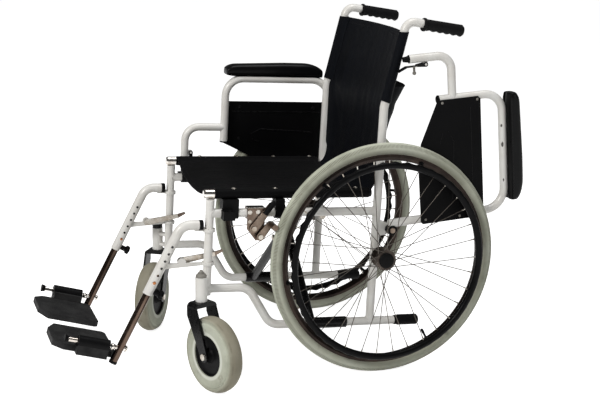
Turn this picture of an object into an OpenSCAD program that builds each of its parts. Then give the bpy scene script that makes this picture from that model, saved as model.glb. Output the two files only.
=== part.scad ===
// Manual folding wheelchair: tubular side frames, crossed bars under a sling seat, swing-away footrests.
// Frame: +X is the chair's left, -Y is forward, +Z is up; the origin is on the floor midway below the rear axle.
// Most pieces are placed by u (forward of the rear axle) and w (above it) in the side frame, which leans front-up.

/* [Side frame] */
// Outer radius of the frame tubes
tube_r = 11; // [9:0.5:13]
// Half distance between the side frames, tube centre to tube centre
frame_x = 227; // [205:1:255]
// Front-up lean of the side frames over the floor, degrees
tilt = 2.8; // [0:0.1:5]
// Front post, forward of the rear axle
front_u = 451; // [430:1:480]
// Back post, forward of the rear axle
back_u = 5; // [0:1:12]
// Height of the seat side tube above the rear axle
upper_w = 113; // [105:1:122]
// Height of the lower side tube above the rear axle
lower_w = -184; // [-195:1:-170]
// Height of the front stub of the lower side tube
stub_w = -82; // [-95:1:-75]
// Forward start of the drop in the lower side tube
drop_u = 342; // [330:1:350]
// Rear end of the drop in the lower side tube
drop_end_u = 278; // [270:1:285]
// Centre-line radius of the bends in the lower tube
bend_r = 45; // [38:1:55]
// Length of the tipping end behind the rear axle
tipping_len = 128; // [110:1:150]
// Length of the rubber tip
tip_len = 66; // [50:1:75]
// Radius of the rubber tip
tip_r = 14; // [13:0.5:17]

/* [Back and push handles] */
// Height above the axle where the back posts start to lean
lean_w = 384; // [365:1:410]
// Backward lean of the upper posts, degrees
lean = 11.8; // [6:0.2:16]
// Length of the leaning part up to the handle corner
lean_len = 226; // [208:1:245]
// Length of the push handle
handle_len = 152; // [140:1:165]
// Drop of the push handle below level, degrees
handle_drop = 7; // [0:1:12]
// Centre-line radius of the handle bend
handle_bend_r = 26; // [22:1:32]
// Length of the push grip
grip_len = 112; // [95:1:118]
// Radius of the push grip
grip_r = 15.5; // [15:0.5:17]

/* [Fold] */
// Half distance between the seat rails
rail_x = 221; // [216:0.5:222]
// Height of the seat rails above the axle
rail_w = 161; // [156:1:170]
// Front end of the seat rails
rail_front_u = 468; // [462:1:490]
// Rear end of the seat rails
rail_back_u = 24; // [22:1:40]
// Length of the bright cap on the front of each rail
rail_cap_len = 26; // [15:1:30]
// Radius of the cross bars
bar_r = 12.5; // [11:0.5:13.5]
// Forward position of the bar that pivots on the left lower tube
bar_left_u = 167; // [150:1:170]
// Gap between the two cross bars at the centre bolt
bar_gap = 3; // [2:0.5:5]
// Radius of the centre bolt
bolt_r = 5; // [4:0.5:6]
// Outer radius of the pivot sleeves on the lower tubes
sleeve_r = 14.5; // [13.5:0.5:16]
// Length of the pivot sleeves behind the bars
sleeve_back = 95; // [60:1:110]

/* [Rear wheels] */
// Outer radius of the rear tyre
wheel_r = 303; // [290:1:312]
// Centre plane of the rear wheel
wheel_x = 283; // [282:1:290]
// Radius of the tyre's section
tyre_r = 16.5; // [14:0.5:17]
// Number of spokes in each wheel, a multiple of four
spoke_n = 36; // [28:4:36]
// Radius of a spoke
spoke_r = 1; // [0.9:0.05:1.1]
// Radius of the hub flange
flange_r = 27; // [24:1:30]
// Radius of the wheel axle
axle_r = 6; // [5:0.5:7]
// Ring radius of the handrim, to its tube centre
handrim_ring = 252; // [246:1:256]
// Radius of the handrim tube
handrim_r = 9; // [8:0.5:10]
// Distance of the handrim outboard of the wheel plane
handrim_off = 38; // [34:1:44]
// Number of handrim standoffs
standoff_n = 6; // [5:1:8]

/* [Casters] */
// Outer radius of the caster tyre
caster_r = 97; // [85:1:99]
// Width of the caster tyre
caster_w = 44; // [36:1:46]
// Radius of the caster hub
caster_hub_r = 52; // [46:1:58]
// Lateral position of the caster barrel
barrel_x = 265; // [260:1:270]
// Caster barrel, forward of the rear axle
barrel_u = 474; // [468:1:480]
// Outer radius of the caster barrel
barrel_r = 15; // [13:0.5:16]
// Height of the caster barrel
barrel_h = 62; // [50:1:66]
// Trail of the caster axle behind the barrel
caster_trail = 52; // [45:1:54]
// Turn of the left caster from straight trailing, degrees
caster_turn_left = -67; // [-180:1:180]
// Turn of the right caster from straight trailing, degrees
caster_turn_right = -121.5; // [-180:0.5:180]

/* [Armrests] */
// Lateral plane of the armrest tubes
arm_x = 251; // [250.5:0.5:253]
// Armrest pivot, forward of the rear axle
pivot_u = -29; // [-34:1:-26]
// Armrest pivot above the rear axle
pivot_w = 68; // [62:1:74]
// Height of the top tube above the pivot
arm_h = 323; // [310:1:340]
// Front upright, forward of the pivot
arm_front = 326; // [315:1:332]
// Height of the step above the pivot
arm_step_h = 184; // [176:1:192]
// Forward position of the locking leg from the pivot
arm_leg = 438; // [430:1:446]
// Length of the arm pad
pad_len = 284; // [250:1:290]
// Width of the arm pad
pad_w = 48; // [42:1:50]
// Height of the arm pad
pad_h = 38; // [28:1:40]
// Turn of the left armrest back from its closed place, degrees
arm_flip_left = 83; // [0:1:83]
// Turn of the right armrest back from its closed place, degrees
arm_flip_right = 0; // [0:1:83]

/* [Footrests] */
// Outer radius of the footrest hanger tube
hanger_r = 12.5; // [12:0.5:13.5]
// Outer radius of the sliding leg tube
leg_r = 10; // [9:0.5:10.5]
// Slope of the footrest from upright, degrees
foot_slope = 25; // [22:1:28]
// Height of the hanger's upper arm above the axle
hanger_w = 83; // [80:1:88]
// Corner of the hanger, forward of the axle
hanger_corner_u = 521; // [512:1:528]
// Length of the hanger tube from its corner to its open end
hanger_len = 193; // [185:1:205]
// Length from the hanger's corner to the hinge rod
hinge_at = 344; // [332:1:356]
// Upward pitch of the hinge rod, degrees
rod_pitch = 12.6; // [8:0.2:16]
// Length of the footplate along the rod
plate_len = 158; // [150:1:165]
// Inboard edge of the footplate from the chair's middle
plate_edge_x = 44; // [40:1:60]
// Thickness of the footplate
plate_t = 15; // [12:0.5:18]

/* [Slings] */
// Thickness of the sling cloth
cloth_t = 1.6; // [1.2:0.1:2.2]
// Slope of the seat cloth where it leaves the rails, degrees
seat_sag = 17; // [8:1:22]
// Backward belly of the back cloth at the middle
back_belly = 24; // [10:1:34]
// Height above the axle where the back cloth starts to belly
back_low_w = 150; // [145:1:190]

/* [Clearances] */
// Radial clearance of the turning fits
run_gap = 0.06; // [0.03:0.01:0.1]
// Gap between neighbouring pieces that move past each other
side_gap = 0.4; // [0.3:0.1:1]

/* [Hidden] */
$fn = 48;

paint = [0.86, 0.84, 0.79];
black = [0.07, 0.07, 0.075];
chrome = [0.78, 0.77, 0.75];
steel = [0.55, 0.53, 0.5];
tyre_grey = [0.56, 0.55, 0.49];
cloth = [0.06, 0.06, 0.065];

// Corner of the push handle in u and w
corner_u = back_u - lean_len * sin(lean);
corner_w = lean_w + lean_len * cos(lean);
// Overlap of a straight tube into a bend, and the bend's extra radius there
bend_lap = 0.8;
bend_swell = 0.06;
// Push grip: set below the tube's axis, with hollows for the fingers
grip_drop = 2;
hollow_deep = 3.5;
// Rear face of the hub and of the washer stack
hub_in_x = wheel_x - 27;
axle_end_x = wheel_x + 22;
// Centre of the fold, where the two bars cross
bar_right_u = bar_left_u + 2 * bar_r + bar_gap;
cross_t = frame_x / (frame_x + rail_x);
cross_w = lower_w + cross_t * (rail_w - lower_w);
// Sling hems around rails and posts
hem_in = tube_r + 0.3;
hem_out = hem_in + cloth_t;
cradle_r = hem_out + 0.5;
cradle_deep = 1.4;
rail_cap_r = tube_r + 0.8;
saddle_rear_u = 271;
saddle_rear_l = 24;
saddle_front_u = 400;
saddle_front_l = 42;
// Cross bars stop short of the rail centre, and their sleeves reach past them
bar_inset = 6;
sleeve_fore_left = 18;
sleeve_fore_right = 24;
// Rear wheel rings
rim_out = wheel_r - 1.6 * tyre_r;
rim_in = rim_out - 19;
rim_half = 12;
flange_x = 18.5;
// Caster barrel in floor axes
barrel_mid_w = -72;
barrel_y = -(barrel_u * cos(tilt) - barrel_mid_w * sin(tilt));
barrel_z = wheel_r + barrel_u * sin(tilt) + barrel_mid_w * cos(tilt);
barrel_bot = barrel_z - barrel_h / 2;
barrel_top = barrel_z + barrel_h / 2;
// Front post at the barrel's height, and the two plates between them
post_y = -(front_u * cos(tilt) - barrel_mid_w * sin(tilt));
gusset_w = 14;
gusset_t = 8;
stem_r = 8;
fork_in = caster_w / 2 + 5;
fork_t = 6;
crown_t = 11;
shoulder_r = 12;
crown_z = barrel_bot - side_gap;
caster_axle_r = 5;
// Armrest
arm_pin_r = 5;
pad_start = arm_front - pad_len;
plug_h = 15;
panel_t = 2.6;
panel_rear = 6;
panel_low = 78;
panel_nose = 138;
panel_flat = 141;
panel_rise = 211;
panel_top = 257;
leg_low = 68;
latch_h = 112;
latch_back = arm_leg - tube_r - 6;
latch_pin_r = 3;
// Wheel lock
lock_u = 340;
lock_w = 76;
shoe_r = 8;
shoe_gap = 0.5;
shoe_ang = 16.5;
shoe_u = (wheel_r + shoe_r + shoe_gap) * cos(shoe_ang);
shoe_w = (wheel_r + shoe_r + shoe_gap) * sin(shoe_ang);
shoe_piv_u = 324;
shoe_piv_w = 56;
lock_pin_r = 4;
lock_x = frame_x + tube_r + 1;
// Footrest
slope_u = sin(foot_slope);
slope_w = -cos(foot_slope);
eye_r = tube_r + 4.5;
eye_h = 8;
eye_up_w = 66;
eye_low_w = -20;
latch_w = eye_low_w + 8;
latch_x = frame_x - tube_r - 3.4;
hinge_u = hanger_corner_u + hinge_at * slope_u;
hinge_w = hanger_w + hinge_at * slope_w;
rod_r = 6;
ball_r = 8;
ball_at = 2 * leg_r - 0.8;
housing_start = ball_at + ball_r + 0.8;
housing_len = 80;
housing_r = 15;
plate_drop = 18;
plate_wide = frame_x - plate_edge_x;

function unit2(v) = v / norm(v);
function cross2(a, b) = a[0] * b[1] - a[1] * b[0];
function turn2(p, i) = acos(max(-1, min(1, unit2(p[i] - p[i - 1]) * unit2(p[i + 1] - p[i]))));
function tan_len(p, rr, i) = (i == 0 || i == len(p) - 1) ? 0 : rr[i] * tan(turn2(p, i) / 2);

// Places a side-frame model on the floor
module local() translate([0, 0, wheel_r]) rotate([-tilt, 0, 0]) children();
// Drawing plane of a side frame: first axis u forward, second axis w up, third axis inboard
module side(x) translate([x, 0, 0]) rotate([90, 0, -90]) children();
// Copy for the chair's right
module right() mirror([1, 0, 0]) children();

// Round rod between two points
module rod(a, b, r) {
  d = b - a;
  translate(a)
    rotate([0, acos(d[2] / norm(d)), atan2(d[1], d[0])])
      cylinder(r = r, h = norm(d));
}

// Bent tube along corner points p, with bend radius rr[i] at corner i; a bend is a hair fuller than the straights
module bent(p, rr, r) {
  for (i = [0 : len(p) - 2]) {
    d = unit2(p[i + 1] - p[i]);
    a = p[i] + d * (tan_len(p, rr, i) - (i == 0 ? 0 : bend_lap));
    b = p[i + 1] - d * (tan_len(p, rr, i + 1) - (i == len(p) - 2 ? 0 : bend_lap));
    translate([a[0], a[1], 0])
      rotate([0, 0, atan2(d[1], d[0])])
        rotate([0, 90, 0])
          cylinder(r = r, h = norm(b - a));
  }
  for (i = [1 : 1 : len(p) - 2]) {
    d = unit2(p[i] - p[i - 1]);
    s = cross2(d, p[i + 1] - p[i]) > 0 ? 1 : -1;
    t = p[i] - d * tan_len(p, rr, i);
    c = t + s * rr[i] * [-d[1], d[0]];
    a1 = atan2(t[1] - c[1], t[0] - c[0]);
    translate([c[0], c[1], 0])
      rotate([0, 0, s > 0 ? a1 : a1 - turn2(p, i)])
        rotate_extrude(angle = turn2(p, i))
          translate([rr[i], 0])
            circle(r = r + bend_swell);
  }
}

// Rounded rectangle from squares and circles
module rrect(w, h, r) {
  square([w - 2 * r, h], center = true);
  square([w, h - 2 * r], center = true);
  for (i = [-1, 1], j = [-1, 1])
    translate([i * (w / 2 - r), j * (h / 2 - r)])
      circle(r = r);
}

// Closed cloth between two grids of points
module sheet(f, b) {
  n = len(f);
  m = len(f[0]);
  pts = concat([for (i = [0 : n - 1], j = [0 : m - 1]) f[i][j]], [for (i = [0 : n - 1], j = [0 : m - 1]) b[i][j]]);
  k = n * m;
  grid = [for (i = [0 : n - 2], j = [0 : m - 2]) [i * m + j, i * m + j + 1, (i + 1) * m + j + 1, (i + 1) * m + j]];
  edge = concat(
    [for (j = [0 : m - 2]) [j, j + 1]],
    [for (i = [0 : n - 2]) [i * m + m - 1, (i + 1) * m + m - 1]],
    [for (j = [m - 2 : -1 : 0]) [(n - 1) * m + j + 1, (n - 1) * m + j]],
    [for (i = [n - 2 : -1 : 0]) [(i + 1) * m, i * m]]
  );
  faces = concat(
    [for (q = grid, t = [[0, 1, 2], [0, 2, 3]]) [q[t[0]], q[t[1]], q[t[2]]]],
    [for (q = grid, t = [[2, 1, 0], [3, 2, 0]]) [q[t[0]] + k, q[t[1]] + k, q[t[2]] + k]],
    [for (e = edge, t = [0, 1]) t == 0 ? [e[1], e[0], e[0] + k] : [e[1], e[0] + k, e[1] + k]]
  );
  polyhedron(points = pts, faces = faces, convexity = 6);
}

// Back post: upright, lean, push handle, and the pivot plate of the armrest with its pin
module back_post(s) {
  color(paint)
    local()
      union() {
        difference() {
          side(s * frame_x)
            bent(
              [[back_u, lower_w], [back_u, lean_w], [corner_u, corner_w],
                [corner_u - handle_len * cos(handle_drop), corner_w - handle_len * sin(handle_drop)]],
              [0, 70, handle_bend_r, 0], tube_r);
          side(s * frame_x)
            bent([[back_u - 40, lower_w], [back_u + 40, lower_w]], [0, 0], tube_r);
          translate([s * frame_x - 30, 0, 0])
            rotate([0, 90, 0])
              cylinder(r = axle_r, h = 60);
        }
        side(s * (frame_x + tube_r - 4))
          linear_extrude(5, center = true)
            union() {
              translate([pivot_u, pivot_w])
                circle(r = 13);
              polygon([[pivot_u, pivot_w - 13], [pivot_u, pivot_w + 13], [back_u, pivot_w + 22],
                [back_u, pivot_w - 22]]);
            }
        translate([s * (frame_x + tube_r - 4), -pivot_u, pivot_w])
          rotate([0, s * 90, 0])
            cylinder(r = arm_pin_r, h = arm_x + 0.9 - frame_x + 4);
        translate([s * (frame_x + tube_r - 4), -pivot_u, pivot_w])
          rotate([0, s * 90, 0])
            cylinder(r = 9, h = arm_x - tube_r - 0.4 - frame_x - tube_r + 4);
        translate([s * (arm_x + tube_r + 0.4), -pivot_u, pivot_w])
          rotate([0, s * 90, 0])
            cylinder(r1 = 8, r2 = 6.5, h = 1.6);
      }
}

// Moulded grip: hollow sleeve with five finger hollows below
module push_grip() {
  grip_u = corner_u - (handle_len - grip_len + 4) * cos(handle_drop);
  grip_w = corner_w - (handle_len - grip_len + 4) * sin(handle_drop);
  color(black)
    local()
      translate([frame_x, -grip_u, grip_w])
        rotate([-90 - handle_drop, 0, 0])
          difference() {
            translate([0, grip_drop, 0])
              rotate_extrude()
                polygon([[0, grip_len + 1], [grip_r - 4, grip_len + 1], [grip_r, grip_len - 4], [grip_r - 0.6, 9],
                  [grip_r + 1.8, 6.5], [grip_r + 1.8, 2], [grip_r + 0.6, 0], [0, 0]]);
            translate([0, 0, -1])
              cylinder(r = tube_r, h = grip_len - 3);
            for (i = [0 : 4])
              translate([-30, grip_r + grip_drop + 12 - hollow_deep, 21 + i * 19])
                rotate([0, 90, 0])
                  cylinder(r = 12, h = 60);
          }
}

// Front post with the caster barrel welded ahead of it
module front_post() {
  color(paint)
    union() {
      local()
        translate([frame_x, -front_u, stub_w - tube_r - 5])
          cylinder(r = tube_r, h = rail_w - hem_out - 0.6 - stub_w + tube_r + 5);
      difference() {
        union() {
          translate([barrel_x, barrel_y, barrel_bot])
            cylinder(r = barrel_r, h = barrel_h);
          for (k = [0.22, 0.7])
            translate([frame_x, post_y, barrel_bot + k * barrel_h])
              rotate([0, 0, atan2(barrel_y - post_y, barrel_x - frame_x)])
                translate([0, -gusset_w / 2, 0])
                  cube([norm([barrel_x - frame_x, barrel_y - post_y]), gusset_w, gusset_t]);
        }
        translate([barrel_x, barrel_y, barrel_bot - 1])
          cylinder(r = stem_r + run_gap, h = barrel_h + 2);
      }
    }
}

// Horizontal tube under the seat rail, coped to both posts
module seat_side_tube() {
  color(paint)
    local()
      difference() {
        side(frame_x)
          bent([[back_u, upper_w], [front_u, upper_w]], [0, 0], tube_r);
        for (u = [back_u, front_u])
          translate([frame_x, -u, upper_w - 40])
            cylinder(r = tube_r, h = 80);
      }
}

// Lower tube: stub at the front post, drop, and the long run that ends as the tipping lever
module lower_side_tube() {
  color(paint)
    local()
      difference() {
        side(frame_x)
          bent([[front_u, stub_w], [drop_u, stub_w], [drop_end_u, lower_w], [-tipping_len + 4, lower_w]],
            [0, bend_r, bend_r, 0], tube_r);
        translate([frame_x, -front_u, stub_w - 40])
          cylinder(r = tube_r, h = 80);
      }
}

// Ribbed rubber tip on the tipping lever
module tipping_tip() {
  color(black)
    local()
      translate([frame_x, tipping_len, lower_w])
        rotate([90, 0, 0])
          difference() {
            rotate_extrude()
              polygon([[0, -3], [tip_r - 4, -3], [tip_r, 1], [tip_r, tip_len - 12], [tip_r - 1.5, tip_len - 10],
                [tip_r - 1.5, tip_len - 3], [tip_r - 2.2, tip_len - 1], [0, tip_len - 1]]);
            translate([0, 0, 4])
              cylinder(r = tube_r, h = tip_len);
          }
}

// Block on the seat side tube with a cradle for the seat rail
module saddle(u, l) {
  top = rail_w - cradle_r + cradle_deep;
  translate([0, -u, 0])
    difference() {
      rotate([90, 0, 0])
        linear_extrude(l, center = true)
          difference() {
            union() {
              translate([frame_x, upper_w])
                circle(r = tube_r + 4);
              polygon([[frame_x - tube_r - 4, upper_w], [rail_x - cradle_r - 4, rail_w - 14],
                [rail_x - cradle_r - 4, top], [frame_x + tube_r, top], [frame_x + tube_r + 0.6, upper_w]]);
            }
            translate([frame_x, upper_w])
              circle(r = tube_r);
            translate([rail_x, rail_w])
              circle(r = cradle_r);
            translate([frame_x + tube_r + 0.8, upper_w - 40])
              square([20, 80]);
          }
    }
}

// Two rail saddles; the front one also carries the socket of the armrest leg
module seat_saddles() {
  sock_u = pivot_u + arm_leg;
  sock_w = pivot_w + leg_low - plug_h;
  color(black)
    local()
      union() {
        saddle(saddle_rear_u, saddle_rear_l);
        difference() {
          union() {
            saddle(saddle_front_u, saddle_front_l);
            translate([frame_x + tube_r - 2, -sock_u - 15, sock_w - 20])
              cube([arm_x - frame_x - tube_r + 2 + 13, 30, 22]);
          }
          translate([arm_x, -sock_u, sock_w - 3])
            cylinder(r1 = 9.5, r2 = 12, h = 10);
          translate([frame_x, 0, upper_w])
            rotate([90, 0, 0])
              cylinder(r = tube_r, h = front_u);
        }
      }
}

// Clamp and plate of the wheel lock, with its two pins
module wheel_lock_bracket() {
  color(steel)
    local()
      union() {
        difference() {
          translate([frame_x - tube_r - 3, -lock_u - 17, upper_w - tube_r - 3])
            cube([2 * tube_r + 6, 46, 2 * tube_r + 6]);
          translate([frame_x, 0, upper_w])
            rotate([90, 0, 0])
              cylinder(r = tube_r, h = front_u);
        }
        side(lock_x + 2)
          linear_extrude(4, center = true)
            union() {
              polygon([[lock_u + 17, upper_w + 14], [lock_u + 17, lock_w - 2], [shoe_piv_u + 9, shoe_piv_w - 12],
                [shoe_piv_u - 9, shoe_piv_w - 8], [lock_u - 29, upper_w - 14], [lock_u - 29, upper_w + 14]]);
              translate([shoe_piv_u, shoe_piv_w])
                circle(r = 12);
            }
        translate([lock_x + 3, -lock_u, lock_w])
          rotate([0, 90, 0])
            cylinder(r = lock_pin_r, h = 7.4);
        translate([lock_x + 10.2, -lock_u, lock_w])
          rotate([0, 90, 0])
            cylinder(r = 6.5, h = 2.4);
        translate([lock_x + 3, -shoe_piv_u, shoe_piv_w])
          rotate([0, 90, 0])
            cylinder(r = lock_pin_r, h = 14.4);
        translate([lock_x + 17.2, -shoe_piv_u, shoe_piv_w])
          rotate([0, 90, 0])
            cylinder(r = 6.5, h = 2.4);
      }
}

// Hand lever of the wheel lock: flat steel with a rounded grip
module wheel_lock_lever() {
  tip = [lock_u - 46, lock_w + 65];
  color(black)
    local()
      difference() {
        union() {
          side(lock_x + 7)
            linear_extrude(5, center = true)
              union() {
                translate([lock_u, lock_w])
                  circle(r = 11);
                polygon([[lock_u - 9, lock_w - 7], [lock_u + 9, lock_w + 7], [tip[0] + 7, tip[1] + 2],
                  [tip[0] - 4, tip[1] - 8]]);
              }
          side(lock_x + 12)
            bent([[lock_u - 26, lock_w + 36.7], tip], [0, 0], 7);
          translate([lock_x + 12, -tip[0], tip[1]])
            sphere(r = 7.4);
        }
        translate([lock_x, -lock_u, lock_w])
          rotate([0, 90, 0])
            cylinder(r = lock_pin_r + run_gap, h = 20);
        translate([lock_x, -lock_u, lock_w])
          rotate([0, 90, 0])
            cylinder(r = 14, h = 4.4);
      }
}

// Shoe arm of the wheel lock, with the round shoe that presses on the tyre
module wheel_lock_shoe() {
  color(steel)
    local()
      difference() {
        union() {
          side(lock_x + 14)
            linear_extrude(5, center = true)
              union() {
                translate([shoe_piv_u, shoe_piv_w])
                  circle(r = 10);
                translate([shoe_u + 2, shoe_w])
                  circle(r = 8);
                polygon([[shoe_piv_u - 9, shoe_piv_w - 4], [shoe_piv_u + 8, shoe_piv_w + 6], [shoe_u + 9, shoe_w + 4],
                  [shoe_u - 5, shoe_w - 4]]);
              }
          translate([lock_x + 13, -shoe_u, shoe_w])
            rotate([0, 90, 0])
              cylinder(r = shoe_r, h = wheel_x + 12 - lock_x - 13);
          translate([lock_x + 17, -shoe_u, shoe_w])
            rotate([0, 90, 0])
              cylinder(r = shoe_r + 0.2, h = 1);
        }
        translate([lock_x, -shoe_piv_u, shoe_piv_w])
          rotate([0, 90, 0])
            cylinder(r = lock_pin_r + run_gap, h = 30);
        local_tyre_clear();
      }
}

// Room around the tyre for the shoe arm
module local_tyre_clear() {
  translate([wheel_x - 30, 0, 0])
    rotate([0, 90, 0])
      cylinder(r = wheel_r + shoe_gap, h = 60, $fn = 200);
}

// Axle bolt through the back post, with head, spacer and outer thread end
module wheel_axle() {
  color(steel)
    local()
      rotate([0, 90, 0])
        rotate_extrude()
          polygon([[0, frame_x - tube_r - 9], [9, frame_x - tube_r - 9], [10, frame_x - tube_r - 8],
            [10, frame_x - tube_r], [axle_r, frame_x - tube_r], [axle_r, frame_x + tube_r],
            [10, frame_x + tube_r], [10, hub_in_x - side_gap], [axle_r, hub_in_x - side_gap],
            [axle_r, axle_end_x - 1], [axle_r - 1, axle_end_x], [0, axle_end_x]]);
}

// Places a wheel profile drawn as radius and lateral offset
module wheel_turn() local() translate([wheel_x, 0, 0]) rotate([0, 90, 0]) rotate_extrude($fn = 120) children();

// Rear tyre
module tyre() {
  color(tyre_grey)
    wheel_turn()
      difference() {
        translate([wheel_r - tyre_r, 0])
          circle(r = tyre_r);
        translate([rim_out - 60, -rim_half])
          square([60, 2 * rim_half]);
      }
}

// Rim with a hollow channel for the tyre
module rim() {
  color(steel)
    wheel_turn()
      polygon([[rim_out, rim_half], [rim_out, rim_half - 2.4], [rim_out - 5, rim_half - 2.4], [rim_out - 9, 5],
        [rim_out - 9, -5], [rim_out - 5, -rim_half + 2.4], [rim_out, -rim_half + 2.4], [rim_out, -rim_half],
        [rim_out - 9, -rim_half], [rim_in + 1.5, -7], [rim_in, -3], [rim_in, 3], [rim_in + 1.5, 7],
        [rim_out - 9, rim_half]]);
}

// Crossed spokes: each flange has leading and trailing spokes on its two faces
module spokes() {
  step = 360 / spoke_n;
  color(chrome)
    local()
      translate([wheel_x, 0, 0])
        for (i = [0 : spoke_n - 1]) {
          s = i % 2 == 0 ? 1 : -1;
          lead = i % 4 < 2 ? 1 : -1;
          a = i * step + (lead > 0 ? -52 : 52);
          b = i * step;
          rod(
            [s * (flange_x + 1.7 * lead), (flange_r - 4) * cos(a), (flange_r - 4) * sin(a)],
            [s * (3.4 + 1.6 * lead), (rim_in + 1.6) * cos(b), (rim_in + 1.6) * sin(b)], spoke_r);
        }
}

// Hub shell with two flanges and a domed cap, bored for the axle
module hub() {
  bore = axle_r + run_gap;
  color(black)
    wheel_turn()
      polygon([[bore, -27], [13, -27], [14, -25], [14, -flange_x - 2.4], [flange_r, -flange_x - 1.6],
        [flange_r, 1.6 - flange_x], [15, 3 - flange_x], [15, flange_x - 3], [flange_r, flange_x - 1.6],
        [flange_r, flange_x + 1.6], [20, flange_x + 2.4], [20, 24.5], [18.5, 26.6], [12, 27.8], [0, 28.2], [0, 24],
        [bore, 23]]);
}

// Handrim on short standoffs from the rim
module handrim() {
  color(black)
    union() {
      local()
        translate([wheel_x + handrim_off, 0, 0])
          rotate([0, 90, 0])
            rotate_extrude($fn = 120)
              translate([handrim_ring, 0])
                circle(r = handrim_r);
      local()
        translate([wheel_x, 0, 0])
          for (i = [0 : standoff_n - 1])
            rotate([i * 360 / standoff_n + 18, 0, 0])
              rod([9.6, 0, rim_out - 13], [handrim_off - handrim_r + 2, 0, handrim_ring], 4);
    }
}

// Turns a caster model, drawn trailing straight back from its stem at the origin
module caster_at(turn) translate([barrel_x, barrel_y, 0]) rotate([0, 0, turn]) children();

// Caster fork: stem with domed cap, crown, two legs and the axle bolt
module caster_fork(turn) {
  color(black)
    caster_at(turn)
      union() {
        translate([0, 0, barrel_bot - side_gap - 1])
          cylinder(r = stem_r, h = barrel_h + 2 * side_gap + 1.5);
        translate([0, 0, barrel_top + side_gap])
          rotate_extrude()
            polygon([[0, 0], [barrel_r - 1, 0], [barrel_r - 1, 4], [barrel_r - 4, 8], [barrel_r - 9, 10.5], [0, 11]]);
        translate([0, 0, crown_z - crown_t])
          cylinder(r = 20, h = crown_t);
        intersection() {
          rotate([90, 0, 0])
            translate([0, 0, -caster_trail - 30])
              linear_extrude(caster_trail + 60)
                difference() {
                  union() {
                    translate([-fork_in - fork_t, caster_r - 30])
                      square([2 * (fork_in + fork_t), crown_z - shoulder_r - caster_r + 30]);
                    translate([shoulder_r - fork_in - fork_t, crown_z - shoulder_r - 1])
                      square([2 * (fork_in + fork_t - shoulder_r), shoulder_r + 1]);
                    for (s = [-1, 1])
                      translate([s * (fork_in + fork_t - shoulder_r), crown_z - shoulder_r])
                        circle(r = shoulder_r);
                  }
                  translate([-fork_in, caster_r - 40])
                    square([2 * fork_in, crown_z - crown_t - caster_r + 40]);
                }
          rotate([90, 0, 90])
            linear_extrude(2 * (fork_in + fork_t) + 2, center = true)
              union() {
                translate([caster_trail, caster_r])
                  circle(r = 14);
                polygon([[-16, crown_z + 1], [20, crown_z + 1], [20, barrel_bot - 14],
                  [caster_trail + 13.5, caster_r + 3], [caster_trail - 13.5, caster_r - 3], [-16, barrel_bot - 34]]);
              }
        }
        translate([-fork_in - fork_t - 4, caster_trail, caster_r])
          rotate([0, 90, 0])
            cylinder(r = caster_axle_r, h = 2 * (fork_in + fork_t + 4));
        for (s = [-1, 1])
          translate([s * (fork_in + fork_t + 2), caster_trail, caster_r])
            rotate([0, 90, 0])
              cylinder(r = 9, h = 4.5, center = true, $fn = 6);
      }
}

// Places a caster wheel profile
module caster_turned(turn) {
  caster_at(turn)
    translate([0, caster_trail, caster_r])
      rotate([0, 90, 0])
        rotate_extrude($fn = 96)
          children();
}

// Caster tyre with rounded shoulders
module caster_tyre(turn) {
  h = caster_w / 2;
  color(tyre_grey)
    caster_turned(turn)
      difference() {
        union() {
          translate([caster_hub_r, -h + 3])
            square([caster_r - caster_hub_r - h * 0.62, 2 * h - 6]);
          translate([caster_hub_r, -h])
            square([caster_r - caster_hub_r - h * 0.62 - 6, 2 * h]);
          translate([caster_r - h * 0.62 - 6, h - 6])
            circle(r = 6);
          translate([caster_r - h * 0.62 - 6, 6 - h])
            circle(r = 6);
          intersection() {
            translate([caster_r - 1.35 * h, 0])
              circle(r = 1.35 * h);
            translate([caster_hub_r + 10, 3 - h])
              square([caster_r, 2 * h - 6]);
          }
        }
        translate([caster_hub_r - 10, -h - 1])
          square([10, 2 * h + 2]);
      }
}

// Caster hub: dished disc with a boss bored for the axle
module caster_hub(turn) {
  h = caster_w / 2;
  bore = caster_axle_r + run_gap;
  color(black)
    caster_turned(turn)
      polygon([[bore, -fork_in + side_gap], [14, -fork_in + side_gap], [16, -h + 2], [20, -h + 7],
        [caster_hub_r - 6, -h + 7], [caster_hub_r - 3, -h + 3], [caster_hub_r, -h + 3], [caster_hub_r, h - 3],
        [caster_hub_r - 3, h - 3], [caster_hub_r - 6, h - 7], [20, h - 7], [16, h - 2], [14, fork_in - side_gap],
        [bore, fork_in - side_gap]]);
}

// Places an armrest model, drawn in its closed place from its pivot
module arm_at(flip) {
  local()
    translate([0, -pivot_u, pivot_w])
      rotate([-flip, 0, 0])
        children();
}

// Armrest tube: rear upright, top, front upright, step and locking leg with its cone
module arm_frame(flip) {
  rear = 17.5;
  color(paint)
    arm_at(flip)
      difference() {
        union() {
          side(arm_x)
            bent([[rear, -6], [rear, arm_h], [arm_front, arm_h], [arm_front, arm_step_h - 40]], [0, 55, 50, 0], tube_r);
          side(arm_x)
            bent([[arm_front, arm_step_h], [arm_leg, arm_step_h], [arm_leg, leg_low]], [0, 38, 0], tube_r);
          translate([arm_x - tube_r, 0, 0])
            rotate([0, 90, 0])
              cylinder(r = 13, h = 2 * tube_r);
          translate([arm_x, -arm_leg, leg_low - plug_h])
            cylinder(r1 = 6.5, r2 = 9, h = plug_h + 1);
          translate([arm_x - 4, -latch_back - 8, latch_h - 6])
            cube([8, 12, 12]);
          translate([arm_x - 8, -latch_back, latch_h])
            rotate([0, 90, 0])
              cylinder(r = latch_pin_r, h = 16);
        }
        translate([arm_x - 40, 0, 0])
          rotate([0, 90, 0])
            cylinder(r = arm_pin_r + run_gap, h = 80);
      }
}

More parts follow.
